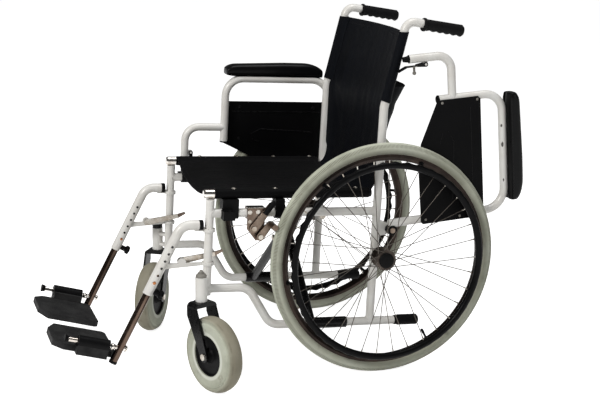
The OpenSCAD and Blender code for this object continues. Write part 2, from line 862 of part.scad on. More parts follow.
// Arm pad: moulded block with rounded edges, grooved to sit on the top tube
module arm_pad(flip) {
  low = arm_h + tube_r - 3;
  color(black)
    arm_at(flip)
      difference() {
        intersection() {
          translate([arm_x + pad_w / 2 - 13, 0, 0])
            rotate([90, 0, 0])
              translate([0, low + pad_h / 2, 0])
                linear_extrude(arm_front + 20)
                  rrect(pad_w, pad_h, 10);
          side(arm_x)
            translate([pad_start + pad_len / 2, low + pad_h / 2, 0])
              linear_extrude(2 * pad_w + 40, center = true)
                rrect(pad_len, pad_h, 14);
        }
        side(arm_x)
          translate([-20, arm_h, 0])
            rotate([0, 90, 0])
              cylinder(r = tube_r, h = arm_front + 60);
        side(arm_x)
          bent([[17.5, -6], [17.5, arm_h], [arm_front, arm_h], [arm_front, arm_step_h]], [0, 55, 50, 0], tube_r + 0.2);
      }
}

// Side panel on the outboard face of the uprights
module arm_panel(flip) {
  panel_x = arm_x + tube_r + 0.2 + panel_t / 2;
  color(black)
    arm_at(flip)
      side(panel_x)
        linear_extrude(panel_t, center = true)
          polygon([[panel_rear, panel_low + 6], [panel_rear + 6, panel_low + 1], [panel_rear + panel_flat, panel_low],
            [panel_rear + panel_rise, panel_low + 9], [arm_front, panel_nose], [arm_front, panel_top - 7],
            [arm_front - 7, panel_top], [panel_rear + 7, panel_top], [panel_rear, panel_top - 7]]);
}

// Spring latch behind the locking leg: bent flat bar, finger tab and pull pin
module arm_latch(flip) {
  color(black)
    arm_at(flip)
      difference() {
        union() {
          for (s = [-1, 1])
            side(arm_x + s * 6.2)
              linear_extrude(3, center = true)
                union() {
                  translate([latch_back, latch_h])
                    circle(r = 6);
                  polygon([[latch_back - 6, latch_h], [latch_back + 5, latch_h - 2], [latch_back + 1, latch_h - 24],
                    [latch_back - 4, latch_h - 24]]);
                }
          side(arm_x)
            linear_extrude(15.4, center = true)
              polygon([[latch_back - 4, latch_h - 10], [latch_back - 1, latch_h - 10], [latch_back - 1, latch_h - 52],
                [latch_back - 11, latch_h - 74], [latch_back - 14, latch_h - 74], [latch_back - 4, latch_h - 51]]);
          translate([arm_x, -latch_back + 2, latch_h - 30])
            rotate([-90, 0, 0])
              cylinder(r = 3, h = 18);
          translate([arm_x, -latch_back + 20, latch_h - 30])
            sphere(r = 5);
        }
        translate([arm_x - 20, -latch_back, latch_h])
          rotate([0, 90, 0])
            cylinder(r = latch_pin_r + run_gap, h = 40);
      }
}

// Swing-away footrest hanger: two eyes on the front post, bent tube with adjusting holes, clamp knob
module footrest_hanger() {
  end_u = hanger_corner_u + hanger_len * slope_u;
  end_w = hanger_w + hanger_len * slope_w;
  color(paint)
    local()
      difference() {
        union() {
          side(frame_x)
            bent([[front_u + eye_r + 3, hanger_w], [hanger_corner_u, hanger_w], [end_u, end_w]], [0, 36, 0], hanger_r);
          for (w = [eye_up_w, eye_low_w])
            translate([frame_x, -front_u, w])
              cylinder(r = eye_r, h = eye_h);
          side(frame_x)
            linear_extrude(7, center = true)
              union() {
                polygon([[front_u, eye_up_w + 1], [front_u, eye_up_w + eye_h], [front_u + eye_r + 18, hanger_w],
                  [front_u + eye_r + 34, hanger_w - 6], [front_u + eye_r + 20, eye_up_w + 2]]);
                translate([hanger_corner_u - 4, latch_w])
                  circle(r = 10);
                polygon([[front_u, eye_low_w + 1], [front_u, eye_low_w + eye_h - 1],
                  [hanger_corner_u + 108 * slope_u, hanger_w + 108 * slope_w],
                  [hanger_corner_u + 124 * slope_u, hanger_w + 124 * slope_w]]);
              }
          side(frame_x)
            translate([hanger_corner_u + (hanger_len - 12) * slope_u, hanger_w + (hanger_len - 12) * slope_w, 0])
              rotate([0, 0, -90 + foot_slope])
                rotate([90, 0, 0])
                  cylinder(r = 7, h = hanger_r + 14);
        }
        translate([frame_x, -front_u, eye_low_w - 60])
          cylinder(r = tube_r + run_gap, h = 200);
        side(frame_x)
          translate([end_u, end_w, 0])
            rotate([0, 0, 90 + foot_slope])
              rotate([0, 90, 0])
                translate([0, 0, -5])
                  cylinder(r = leg_r + run_gap, h = hanger_len - 36 * tan((90 - foot_slope) / 2) - 1);
        for (i = [0 : 5])
          translate([frame_x, -hanger_corner_u - (hanger_len - 35 - 20 * i) * slope_u,
            hanger_w + (hanger_len - 35 - 20 * i) * slope_w])
            rotate([0, 90, 0])
              cylinder(r = 3.2, h = 30);
      }
  color(chrome)
    local()
      translate([frame_x - 2, -hanger_corner_u + 4, latch_w])
        rotate([0, -90, 0])
          cylinder(r = 3.5, h = tube_r + 4.6);
}

// Release lever of the footrest, hung on a pin of the hanger's lower arm
module footrest_latch() {
  piv_u = hanger_corner_u - 4;
  color(chrome)
    local()
      difference() {
        side(latch_x)
          linear_extrude(4, center = true)
            union() {
              translate([piv_u, latch_w])
                circle(r = 9);
              polygon([[piv_u - 2, latch_w - 8.5], [piv_u + 3, latch_w + 8], [front_u - 20, latch_w + 22],
                [front_u - 40, latch_w + 28], [front_u - 43, latch_w + 23], [front_u - 22, latch_w + 11]]);
            }
        translate([frame_x, -piv_u, latch_w])
          rotate([0, -90, 0])
            cylinder(r = 3.5 + run_gap, h = 40);
      }
}

// Frame along the hinge rod: first axis along the rod, second inboard, third up
module rod_at() {
  local()
    translate([frame_x, -hinge_u, hinge_w])
      rotate([-rod_pitch, 0, 0])
        rotate([0, 0, -90])
          mirror([0, 1, 0])
            children();
}

// Sliding leg, bored across for the hinge rod
module footrest_leg() {
  top = hanger_len - 62;
  low = hinge_at + 42;
  color(chrome)
    difference() {
      local()
        side(frame_x)
          bent([[hanger_corner_u + top * slope_u, hanger_w + top * slope_w],
            [hanger_corner_u + low * slope_u, hanger_w + low * slope_w]], [0, 0], leg_r);
      rod_at()
        translate([-40, 0, 0])
          rotate([0, 90, 0])
            cylinder(r = rod_r + run_gap, h = 80);
    }
}

// Hinge rod of the footplate: head behind the leg, ball before it, front knob
module hinge_rod() {
  color(chrome)
    rod_at()
      union() {
        translate([-15, 0, 0])
          rotate([0, 90, 0])
            cylinder(r = rod_r, h = 15 + housing_start + housing_len + 34);
        translate([-17.6, 0, 0])
          rotate([0, 90, 0])
            cylinder(r1 = 7, r2 = 9, h = 4);
        translate([ball_at, 0, 0])
          sphere(r = ball_r);
        translate([housing_start + housing_len + 24, 0, 0])
          rotate([0, 90, 0])
            cylinder(r1 = 8, r2 = 10.5, h = 10);
      }
}

// Footplate with chamfered corners, ribs below and a long housing around the hinge rod
module footplate() {
  back = 4;
  a = back + plate_len;
  edge = leg_r + 4;
  color(black)
    rod_at()
      difference() {
        union() {
          translate([0, 0, -plate_drop - plate_t])
            linear_extrude(plate_t)
              polygon([[back + 10, edge], [a - 26, edge], [a, edge + 24], [a, plate_wide - 46], [a - 22, plate_wide],
                [back + 8, plate_wide], [back, plate_wide - 8], [back, edge + 10]]);
          translate([housing_start, 0, 0])
            rotate([0, 90, 0])
              cylinder(r = housing_r, h = housing_len);
          translate([housing_start + 1, 3 - housing_r, -plate_drop - plate_t])
            cube([housing_len - 2, housing_r + edge + 7, plate_drop + plate_t]);
        }
        rotate([0, 90, 0])
          cylinder(r = rod_r + run_gap, h = 2 * plate_len);
        for (i = [0 : 2])
          translate([back + 10 + i * (plate_len - 26) / 3, edge + 28, -plate_drop - plate_t - 1])
            cube([(plate_len - 26) / 3 - 6, plate_wide - edge - 58, plate_t - 3]);
      }
}

// Cross bar from its sleeve on one lower tube to the seat rail of the other side, drawn for the left sleeve
module cross_bar(u, sleeve_from, sleeve_to, pin) {
  e = 1 - bar_inset / norm([frame_x + rail_x, rail_w - lower_w]);
  color(black)
    local()
      difference() {
        union() {
          rod([frame_x, -u, lower_w],
            [frame_x - e * (frame_x + rail_x), -u, lower_w + e * (rail_w - lower_w)], bar_r);
          side(frame_x)
            bent([[sleeve_from, lower_w], [sleeve_to, lower_w]], [0, 0], sleeve_r);
          side(-rail_x)
            bent([[rail_back_u, rail_w], [rail_front_u - rail_cap_len, rail_w]], [0, 0], tube_r);
          side(-rail_x)
            bent([[rail_front_u - rail_cap_len - 1, rail_w], [rail_front_u - 4, rail_w]], [0, 0], rail_cap_r);
          translate([-rail_x, -rail_front_u + 4, rail_w])
            rotate([90, 0, 0])
              cylinder(r1 = rail_cap_r, r2 = tube_r - 3, h = 4);
          if (pin)
            translate([0, -u - 2 * bar_r - bar_gap - bar_r - 5, cross_w])
              rotate([-90, 0, 0])
                cylinder(r = bolt_r, h = 2 * bar_r + bar_gap + bar_r + 6);
          if (pin)
            translate([0, -u - 2 * bar_r - bar_gap - bar_r - 7, cross_w])
              rotate([-90, 0, 0])
                cylinder(r = 8, h = 6, $fn = 6);
        }
        side(frame_x)
          bent([[sleeve_from - 60, lower_w], [sleeve_to + 60, lower_w]], [0, 0], tube_r + run_gap + 0.02);
        if (!pin)
          translate([0, -u - 40, cross_w])
            rotate([-90, 0, 0])
              cylinder(r = bolt_r + run_gap, h = 80);
      }
}

// Seat cloth: hems around both rails and a sagging web between them
seat_nx = 20;
seat_nu = 10;
seat_edge = rail_x - hem_in * sin(seat_sag);
seat_top = rail_w + (hem_in + cloth_t) * cos(seat_sag);
seat_depth = seat_edge * tan(seat_sag) / 2;
seat_from = rail_back_u + 6;
seat_to = rail_front_u - rail_cap_len - 4;
// Droop of the free front edge of the seat
seat_droop = 12;
function seat_z(x, t) = seat_top - seat_depth * (1 - pow(x / seat_edge, 2)) * (0.86 + 0.14 * t)
  - seat_droop * exp(-pow((t - 1) * 9, 2)) * (1 - pow(x / seat_edge, 4));
function seat_pt(i, j, d) =
  let (x = (2 * i / seat_nx - 1) * seat_edge, t = j / seat_nu)
    [x, -(seat_from + t * (seat_to - seat_from)), seat_z(x, t) - d];

// Two runs of hem on a rail, open where its cross bar meets it
function hem_runs(u) = [[seat_from, u - bar_r - 2], [u + bar_r + 2, seat_to]];

module seat_sling() {
  f = [for (i = [0 : seat_nx]) [for (j = [0 : seat_nu]) seat_pt(i, j, 0)]];
  b = [for (i = [0 : seat_nx]) [for (j = [0 : seat_nu]) seat_pt(i, j, cloth_t)]];
  color(cloth)
    local()
      union() {
        sheet(b, f);
        for (s = [-1, 1], q = hem_runs(s > 0 ? bar_right_u : bar_left_u))
          difference() {
            side(s * rail_x)
              bent([[q[0], rail_w], [q[1], rail_w]], [0, 0], hem_out);
            side(s * rail_x)
              bent([[q[0] - 5, rail_w], [q[1] + 5, rail_w]], [0, 0], hem_in);
          }
      }
}

// Back cloth: sleeves on the leaning posts, a belly between them, and a pocket behind
back_nx = 20;
back_nw = 20;
sleeve_s0 = 16;
sleeve_s1 = lean_len - handle_bend_r * tan((90 + handle_drop - lean) / 2) - 4;
back_top_w = lean_w + sleeve_s1 * cos(lean);
function post_u(w) = w < lean_w ? back_u : back_u - (w - lean_w) * tan(lean);
function ease(t) = t * t * (3 - 2 * t);
function smooth(t) = ease(max(0, min(1, t)));
function back_half(w) =
  frame_x - tube_r - 1.1 - 14 * smooth((lean_w + 12 - w) / 60);
// The lower edge turns forward below the rear edge of the seat: reach, height over the seat, and normal
flap = [[52, -8, 0, -1], [39, -8.6, 0, -1], [27, -8.4, -0.3, -0.95], [17, -3.5, -0.75, -0.66],
  [9.5, 9, -0.95, -0.3], [5, 28, -1, 0]];
function back_bow(w) = back_belly * (0.25 + 0.75 * smooth((w - back_low_w) / 150));
function back_pt(i, j, d) =
  let (s = 2 * i / back_nx - 1, k = len(flap), base = seat_z(s * back_half(0), 0), t = (j - k) / (back_nw - k),
    w = j < k ? base + flap[j][1] : base + 50 + (back_top_w - base - 50) * t,
    n = j < k ? [flap[j][2], flap[j][3]] : [-1, 0],
    u = j < k ? flap[j][0] - back_bow(w) * (1 - s * s) * min(1, j / 4) : post_u(w) - back_bow(w) * (1 - s * s))
    [s * back_half(w), -(u + d * n[0]), w + d * n[1]];
pocket_nx = 14;
pocket_nw = 8;
pocket_low = lean_w - 94;
pocket_top = lean_w + 46;
pocket_half = 188;
pocket_deep = 66;
function pocket_pt(i, j, d) =
  let (s = 2 * i / pocket_nx - 1, t = j / pocket_nw, w = pocket_low + (pocket_top - pocket_low) * t,
    x = s * pocket_half, q = x / back_half(w),
    bulge = pocket_deep * t * (1 - pow(s, 12)))
    [x, -(post_u(w) - back_bow(w) * (1 - q * q) - cloth_t + 0.3 - bulge - d), w];

module back_sling() {
  f = [for (i = [0 : back_nx]) [for (j = [0 : back_nw]) back_pt(i, j, 0)]];
  b = [for (i = [0 : back_nx]) [for (j = [0 : back_nw]) back_pt(i, j, cloth_t)]];
  pf = [for (i = [0 : pocket_nx]) [for (j = [0 : pocket_nw]) pocket_pt(i, j, 0)]];
  pb = [for (i = [0 : pocket_nx]) [for (j = [0 : pocket_nw]) pocket_pt(i, j, cloth_t)]];
  color(cloth)
    local()
      union() {
        sheet(f, b);
        sheet(pf, pb);
        for (s = [-1, 1])
          difference() {
            side(s * frame_x)
              bent([[post_u(lean_w + sleeve_s0 * cos(lean)), lean_w + sleeve_s0 * cos(lean)],
                [post_u(back_top_w), back_top_w]], [0, 0], hem_out);
            side(s * frame_x)
              bent([[post_u(lean_w) , lean_w], [corner_u, corner_w]], [0, 0], hem_in);
          }
      }
}

// The two sides of the chair
module back_post_left() back_post(1);
module push_grip_left() push_grip();
module front_post_left() front_post();
module seat_side_tube_left() seat_side_tube();
module lower_side_tube_left() lower_side_tube();
module tipping_tip_left() tipping_tip();
module seat_saddles_left() seat_saddles();
module wheel_lock_bracket_left() wheel_lock_bracket();
module wheel_lock_lever_left() wheel_lock_lever();
module wheel_lock_shoe_left() wheel_lock_shoe();
module wheel_axle_left() wheel_axle();
module tyre_left() tyre();
module rim_left() rim();
module spokes_left() spokes();
module hub_left() hub();
module handrim_left() handrim();
module caster_fork_left() caster_fork(caster_turn_left);
module caster_tyre_left() caster_tyre(caster_turn_left);
module caster_hub_left() caster_hub(caster_turn_left);
module arm_frame_left() arm_frame(arm_flip_left);
module arm_pad_left() arm_pad(arm_flip_left);
module arm_panel_left() arm_panel(arm_flip_left);
module arm_latch_left() arm_latch(arm_flip_left);
module footrest_hanger_left() footrest_hanger();
module footrest_latch_left() footrest_latch();
module footrest_leg_left() footrest_leg();
module hinge_rod_left() hinge_rod();
module footplate_left() footplate();
module back_post_right() back_post(-1);
module push_grip_right() right() push_grip();
module front_post_right() right() front_post();
module seat_side_tube_right() right() seat_side_tube();
module lower_side_tube_right() right() lower_side_tube();
module tipping_tip_right() right() tipping_tip();
module seat_saddles_right() right() seat_saddles();
module wheel_lock_bracket_right() right() wheel_lock_bracket();
module wheel_lock_lever_right() right() wheel_lock_lever();
module wheel_lock_shoe_right() right() wheel_lock_shoe();
module wheel_axle_right() right() wheel_axle();
module tyre_right() right() tyre();
module rim_right() right() rim();
module spokes_right() right() spokes();
module hub_right() right() hub();
module handrim_right() right() handrim();
module caster_fork_right() right() caster_fork(-caster_turn_right);
module caster_tyre_right() right() caster_tyre(-caster_turn_right);
module caster_hub_right() right() caster_hub(-caster_turn_right);
module arm_frame_right() right() arm_frame(arm_flip_right);
module arm_pad_right() right() arm_pad(arm_flip_right);
module arm_panel_right() right() arm_panel(arm_flip_right);
module arm_latch_right() right() arm_latch(arm_flip_right);
module footrest_hanger_right() right() footrest_hanger();
module footrest_latch_right() right() footrest_latch();
module footrest_leg_right() right() footrest_leg();
module hinge_rod_right() translate([-2 * frame_x, 0, 0]) hinge_rod();
module footplate_right() right() footplate();
module cross_bar_left() cross_bar(bar_left_u, bar_left_u - sleeve_back, bar_left_u + sleeve_fore_left, true);
module cross_bar_right()
  right() cross_bar(bar_right_u, bar_right_u - sleeve_back + 12, bar_right_u + sleeve_fore_right, false);

back_post_left();
push_grip_left();
front_post_left();
seat_side_tube_left();
lower_side_tube_left();
tipping_tip_left();
seat_saddles_left();
wheel_lock_bracket_left();
wheel_lock_lever_left();
wheel_lock_shoe_left();
wheel_axle_left();
tyre_left();
rim_left();
spokes_left();
hub_left();
handrim_left();
caster_fork_left();
caster_tyre_left();
caster_hub_left();
arm_frame_left();
arm_pad_left();
arm_panel_left();
arm_latch_left();
footrest_hanger_left();
footrest_latch_left();
footrest_leg_left();
hinge_rod_left();
footplate_left();
back_post_right();
push_grip_right();
front_post_right();
seat_side_tube_right();
lower_side_tube_right();
tipping_tip_right();
seat_saddles_right();
wheel_lock_bracket_right();
wheel_lock_lever_right();
wheel_lock_shoe_right();
wheel_axle_right();
tyre_right();
rim_right();
spokes_right();
hub_right();
handrim_right();
caster_fork_right();
caster_tyre_right();
caster_hub_right();
arm_frame_right();
arm_pad_right();
arm_panel_right();
arm_latch_right();
footrest_hanger_right();
footrest_latch_right();
footrest_leg_right();
hinge_rod_right();
footplate_right();
cross_bar_left();
cross_bar_right();
seat_sling();
back_sling();
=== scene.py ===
"""Manual folding wheelchair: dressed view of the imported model."""
from math import acos, cos, exp, hypot, pi, radians, sin, sqrt, tan

import bmesh
import bpy
from mathutils import Color, Matrix, Vector, noise


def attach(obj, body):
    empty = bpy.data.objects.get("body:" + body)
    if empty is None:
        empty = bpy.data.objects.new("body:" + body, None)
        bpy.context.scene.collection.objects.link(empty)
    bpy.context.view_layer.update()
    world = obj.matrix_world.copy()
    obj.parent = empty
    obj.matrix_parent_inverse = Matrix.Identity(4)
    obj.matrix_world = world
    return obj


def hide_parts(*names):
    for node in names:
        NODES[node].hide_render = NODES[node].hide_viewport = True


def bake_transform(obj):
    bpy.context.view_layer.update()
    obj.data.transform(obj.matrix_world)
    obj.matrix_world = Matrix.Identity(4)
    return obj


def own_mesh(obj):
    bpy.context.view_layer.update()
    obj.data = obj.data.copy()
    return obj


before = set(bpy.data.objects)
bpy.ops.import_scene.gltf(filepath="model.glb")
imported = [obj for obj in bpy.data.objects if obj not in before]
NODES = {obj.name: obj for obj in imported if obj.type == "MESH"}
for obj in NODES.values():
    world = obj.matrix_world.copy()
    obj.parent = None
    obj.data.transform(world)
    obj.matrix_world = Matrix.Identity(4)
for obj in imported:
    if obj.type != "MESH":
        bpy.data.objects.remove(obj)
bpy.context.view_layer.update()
scene = bpy.context.scene
SIDES = (("left", 1), ("right", -1))

# Sizes as in the CAD, in millimetres; u is forward of the rear axle and w above it, along the leaning frame.
# side frame
TILT = radians(2.8)
TUBE, FRAME_X = 11, 227
UPPER_W, LOWER_W, STUB_W = 113, -184, -82
FRONT_U, BACK_U = 451, 5
LEAN_W, LEAN, LEAN_LEN = 384, radians(11.8), 226
HANDLE_BEND, HANDLE_DROP = 26, radians(7)
# seat rails and slings; the cross bars meet the rails at BAR_U
RAIL_X, RAIL_W = 221, 161
BAR_U = {"left": 195, "right": 167}
HEM_IN, CLOTH, SAG = 11.3, 1.6, radians(17)
# rear wheel
WHEEL_R, WHEEL_X, TYRE_R = 303, 283, 16.5
RIM_OUT = WHEEL_R - 1.6 * TYRE_R
RIM_IN = RIM_OUT - 19
SPOKES, SPOKE_CIRCLE, SPOKE_SWEEP = 36, 23, radians(52)
HUB_SPOKE, RIM_SPOKE = (18.5, 1.7), (3.4, 1.6)
HANDRIM, HANDRIM_R, HANDRIM_OFF, STANDOFFS = 252, 9, 38, 6
# caster
BARREL_X, BARREL_U, BARREL_W, BARREL_UP = 265, 474, -72, 31
BARREL_Y = -(BARREL_U * cos(TILT) - BARREL_W * sin(TILT))
BARREL_TOP = WHEEL_R + BARREL_U * sin(TILT) + BARREL_W * cos(TILT) + BARREL_UP
CASTER_R, TRAIL = 97, 52
SWIVEL = {"left": radians(-67), "right": radians(-121.5)}
# armrest
PIVOT_U, PIVOT_W = -29, 68
ARM_X, ARM_H, ARM_FRONT, ARM_STEP, ARM_LEG = 251, 323, 326, 184, 438
FLIP = {"left": radians(83), "right": 0}
PANEL_IN, PANEL_OUT = 262.2, 264.8
# footrest
FOOT = radians(25)
HANGER_U, HANGER_W, HANGER_LEN, HANGER_R = 521, 83, 193, 11.9
HOLES_AT = [HANGER_LEN - 35 - 20 * k for k in range(6)]
CLAMP_AT = HANGER_LEN - 12
HINGE_AT, HOUSING, HOUSING_LEN, ROD_PITCH = 344, 28, 80, radians(12.6)


def L(x, u, w):
    """Point of the leaning side frame, from millimetres to metres."""
    return Vector((x, -(u * cos(TILT) - w * sin(TILT)), WHEEL_R + u * sin(TILT) + w * cos(TILT))) / 1000


def to_uw(p):
    """Back from metres to (u, w) of the leaning side frame in millimetres."""
    y, z = -p.y * 1000, p.z * 1000 - WHEEL_R
    return y * cos(TILT) + z * sin(TILT), z * cos(TILT) - y * sin(TILT)


def way(u, w):
    """Unit direction in the plane of a side frame."""
    return (L(0, u, w) - L(0, 0, 0)).normalized()


def arm(side, x, f, h):
    """Point of an armrest: f forward of its pivot and h above it when it is down."""
    a = FLIP[side]
    return L(x, PIVOT_U + f * cos(a) - h * sin(a), PIVOT_W + f * sin(a) + h * cos(a))


def arm_way(side, f, h):
    """Unit direction of an armrest."""
    return (arm(side, 0, f, h) - arm(side, 0, 0, 0)).normalized()


def wheel(s, x, r, ang):
    """Point of a rear wheel: x outboard of the wheel plane, radius, angle."""
    return L(s * (WHEEL_X + x), r * cos(ang), r * sin(ang))


def hanger(x, d):
    """Point on the line of a footrest: x lateral, d down from the corner of its hanger."""
    return L(x, HANGER_U + d * sin(FOOT), HANGER_W - d * cos(FOOT))


def clamp_axis(s):
    """Middle and direction of the screw that clamps a leg in its hanger."""
    return hanger(s * FRAME_X, CLAMP_AT), way(-cos(FOOT), -sin(FOOT))


def smooth(t):
    """Soft step from 0 to 1."""
    t = max(0, min(1, t))
    return t * t * (3 - 2 * t)


def ease(t, power):
    """Rise from 0 to 1 that is steep first and level at its end."""
    return 1 - (1 - min(1, t)) ** power


def turns(n):
    """Angles of n steps round a full turn."""
    return [2 * pi * k / n for k in range(n)]


def run(points):
    """Length of a line of points."""
    return sum((b - a).length for a, b in zip(points, points[1:]))


# node materials
def fill(n, values):
    """Set input values of a node."""
    for k, v in values.items():
        n.inputs[k].default_value = v


def node(nt, kind, values=None, **props):
    """New shader node with the given input values and properties."""
    n = nt.nodes.new("ShaderNode" + kind)
    for k, v in props.items():
        setattr(n, k, v)
    fill(n, values or {})
    return n


def feed(nt, value, socket):
    """Set an input to a plain value, or link an output to it."""
    if isinstance(value, (int, float, tuple)):
        socket.default_value = value
    else:
        nt.links.new(value, socket)


def rgb(r, g, b):
    """Display colour, 0 to 255, to linear."""
    return (*Color((r / 255, g / 255, b / 255)).from_srgb_to_scene_linear(), 1)


def ramp(nt, src, stops):
    """Colours at places from 0 to 1 of a value."""
    n = node(nt, "ValToRGB")
    e = n.color_ramp.elements
    while len(e) < len(stops):
        e.new(0.5)
    for i, (place, colour) in enumerate(stops):
        e[i].position, e[i].color = place, colour
    feed(nt, src, n.inputs["Fac"])
    return n.outputs["Color"]


def calc(nt, op, a, b=None, clamp=False):
    n = node(nt, "Math", operation=op, use_clamp=clamp)
    feed(nt, a, n.inputs[0])
    if b is not None:
        feed(nt, b, n.inputs[1])
    return n.outputs[0]


def mul(nt, a, b, clamp=False):
    return calc(nt, "MULTIPLY", a, b, clamp)


def vec(nt, op, a, b=None):
    """Vector operation on an output and, where it takes one, a fixed vector."""
    n = node(nt, "VectorMath", {} if b is None else {1: b}, operation=op)
    feed(nt, a, n.inputs[0])
    return n.outputs["Value" if op in ("DOT_PRODUCT", "LENGTH") else "Vector"]


def mix(nt, fac, a, b):
    n = node(nt, "Mix", data_type="RGBA")
    for i, v in ((0, fac), (6, a), (7, b)):
        feed(nt, v, n.inputs[i])
    return n.outputs[2]


def span(nt, src, a, b, c=0, d=1):
    """Map the range a to b onto c to d."""
    n = node(nt, "MapRange", {1: a, 2: b, 3: c, 4: d})
    feed(nt, src, n.inputs[0])
    return n.outputs[0]


def tex(nt, coord, scale, detail=3, rough=0.55, stretch=None):
    """Noise, stretched along an axis where asked."""
    n = node(nt, "TexNoise", {"Scale": scale, "Detail": detail, "Roughness": rough})
    if stretch:
        m = node(nt, "Mapping", {"Scale": stretch})
        feed(nt, coord, m.inputs["Vector"])
        coord = m.outputs["Vector"]
    feed(nt, coord, n.inputs["Vector"])
    return n.outputs["Fac"]


def start(name, rough=0.5, metal=0, coat=0, coat_rough=0.1, sheen=0, spec=0.5):
    """New material: itself, its tree, its shader and its object coordinates."""
    m = bpy.data.materials.new(name)
    m.use_nodes = True
    nt = m.node_tree
    b = nt.nodes["Principled BSDF"]
    fill(b, {"Roughness": rough, "Metallic": metal, "Coat Weight": coat, "Coat Roughness": coat_rough,
             "Sheen Weight": sheen, "Specular IOR Level": spec})
    return m, nt, b, node(nt, "TexCoord").outputs["Object"]


def bump(nt, b, src, dist, strength, soft=None, below=None):
    """Relief on top of another relief, or on edges softened by a radius in millimetres."""
    n = node(nt, "Bump", {"Distance": dist, "Strength": strength})
    feed(nt, src, n.inputs["Height"])
    if below is not None:
        feed(nt, below, n.inputs["Normal"])
    elif soft:
        e = node(nt, "Bevel", {"Radius": soft / 1000}, samples=4)
        feed(nt, e.outputs["Normal"], n.inputs["Normal"])
    feed(nt, n.outputs["Normal"], b.inputs["Normal"])
    return n.outputs["Normal"]


def worn(name, light, dark, rough, scale, grain=(1500, 40), soft=None, chips=None, stretch=None, **kw):
    """Surface with broad colour variation, uneven gloss, fine grain, softened edges and optional chips.

    Colours are display values and scale that of their variation; rough is the range of the gloss, grain
    (scale, depth in micrometres), soft a radius in millimetres, chips (colour, share of the cells, scale)."""
    m, nt, b, at = start(name, **kw)
    broad = tex(nt, at, scale, 4, stretch=stretch)
    col = ramp(nt, broad, [(0.32, rgb(*dark)), (0.68, rgb(*light))])
    fine = tex(nt, at, scale * 9, 5, 0.65)
    r = span(nt, fine, 0.3, 0.7, rough[0], rough[1])
    if chips:
        colour, amount, size = chips
        v = node(nt, "TexVoronoi", {"Scale": size})
        feed(nt, at, v.inputs["Vector"])
        near = span(nt, v.outputs["Distance"], 0, 0.13, 1, 0)
        edge = span(nt, tex(nt, at, size * 4, 3), 0.42, 0.6)
        pick = node(nt, "SeparateColor")
        feed(nt, v.outputs["Color"], pick.inputs[0])
        some = calc(nt, "LESS_THAN", pick.outputs[0], amount)
        spot = mul(nt, mul(nt, near, edge), some, clamp=True)
        hard = span(nt, spot, 0.18, 0.3)
        col = mix(nt, hard, col, rgb(*colour))
        r = calc(nt, "ADD", r, mul(nt, hard, 0.25))
    feed(nt, col, b.inputs["Base Color"])
    feed(nt, r, b.inputs["Roughness"])
    bump(nt, b, tex(nt, at, grain[0], 2), grain[1] / 1e6, 0.6, soft)
    return m


def tyre_mat(name, centre, axis, ticks, r_edge, half, ring=None):
    """Grey tyre: dusty colour, darker scuffs, and tread ticks on both shoulders; a caster's tread is darkened
    as painted shade.

    In millimetres, r_edge is where the tread begins, half the half width and ring a caster's pale ring, a
    painted highlight."""
    m, nt, b, at = start(name, spec=0.35)
    r_edge, half = r_edge / 1000, half / 1000
    out = vec(nt, "SUBTRACT", at, centre)
    off = calc(nt, "ABSOLUTE", vec(nt, "DOT_PRODUCT", out, axis))
    fwd = vec(nt, "DOT_PRODUCT", out, (axis[1], -axis[0], 0))
    sep = node(nt, "SeparateXYZ")
    feed(nt, out, sep.inputs[0])
    z = sep.outputs["Z"]
    ang = calc(nt, "ARCTAN2", z, fwd)
    rad = calc(nt, "SQRT", calc(nt, "ADD", mul(nt, z, z), mul(nt, fwd, fwd)))
    tick = span(nt, calc(nt, "SINE", mul(nt, ang, float(ticks))), -0.1, 0.5)
    shoulder = mul(nt, span(nt, off, half * 0.5, half * 0.62),
                   span(nt, off, half * 0.9, half * 0.98, 1, 0), clamp=True)
    outer = span(nt, rad, r_edge - 0.002, r_edge + 0.002)
    groove = mul(nt, tick, mul(nt, shoulder, outer, clamp=True))
    dust = tex(nt, at, 9, 5, 0.6)
    col = ramp(nt, dust, [(0.28, rgb(158, 161, 144)), (0.5, rgb(190, 193, 176)), (0.72, rgb(206, 210, 195))])
    scuff = span(nt, tex(nt, at, 26, 5, 0.75), 0.6, 0.74, 0, 0.55)
    col = mix(nt, scuff, col, rgb(112, 104, 88))
    if ring:
        ring /= 1000
        # painted shade: the outer band of a caster's tread is darkened towards brown
        tread = span(nt, rad, r_edge - 0.012, r_edge, 0, 0.65)
        col = mix(nt, tread, col, rgb(112, 98, 78))
        # painted highlight: a pale ring near a caster's hub
        inner = mul(nt, span(nt, rad, ring, ring + 0.002),
                    span(nt, rad, ring + 0.007, ring + 0.011, 0.75, 0), clamp=True)
        col = mix(nt, inner, col, rgb(226, 228, 218))
    else:
        wall = span(nt, rad, r_edge - 0.012, r_edge + 0.004, 0.5, 0)
        col = mix(nt, wall, col, rgb(104, 98, 82))
    col = mix(nt, mul(nt, groove, 0.75), col, rgb(92, 86, 70))
    feed(nt, col, b.inputs["Base Color"])
    feed(nt, span(nt, dust, 0.3, 0.7, 0.62, 0.8), b.inputs["Roughness"])
    under = bump(nt, b, tex(nt, at, 380, 4), 0.0002, 0.5)
    bump(nt, b, calc(nt, "SUBTRACT", 1, groove), 0.0009, 0.9, below=under)
    return m


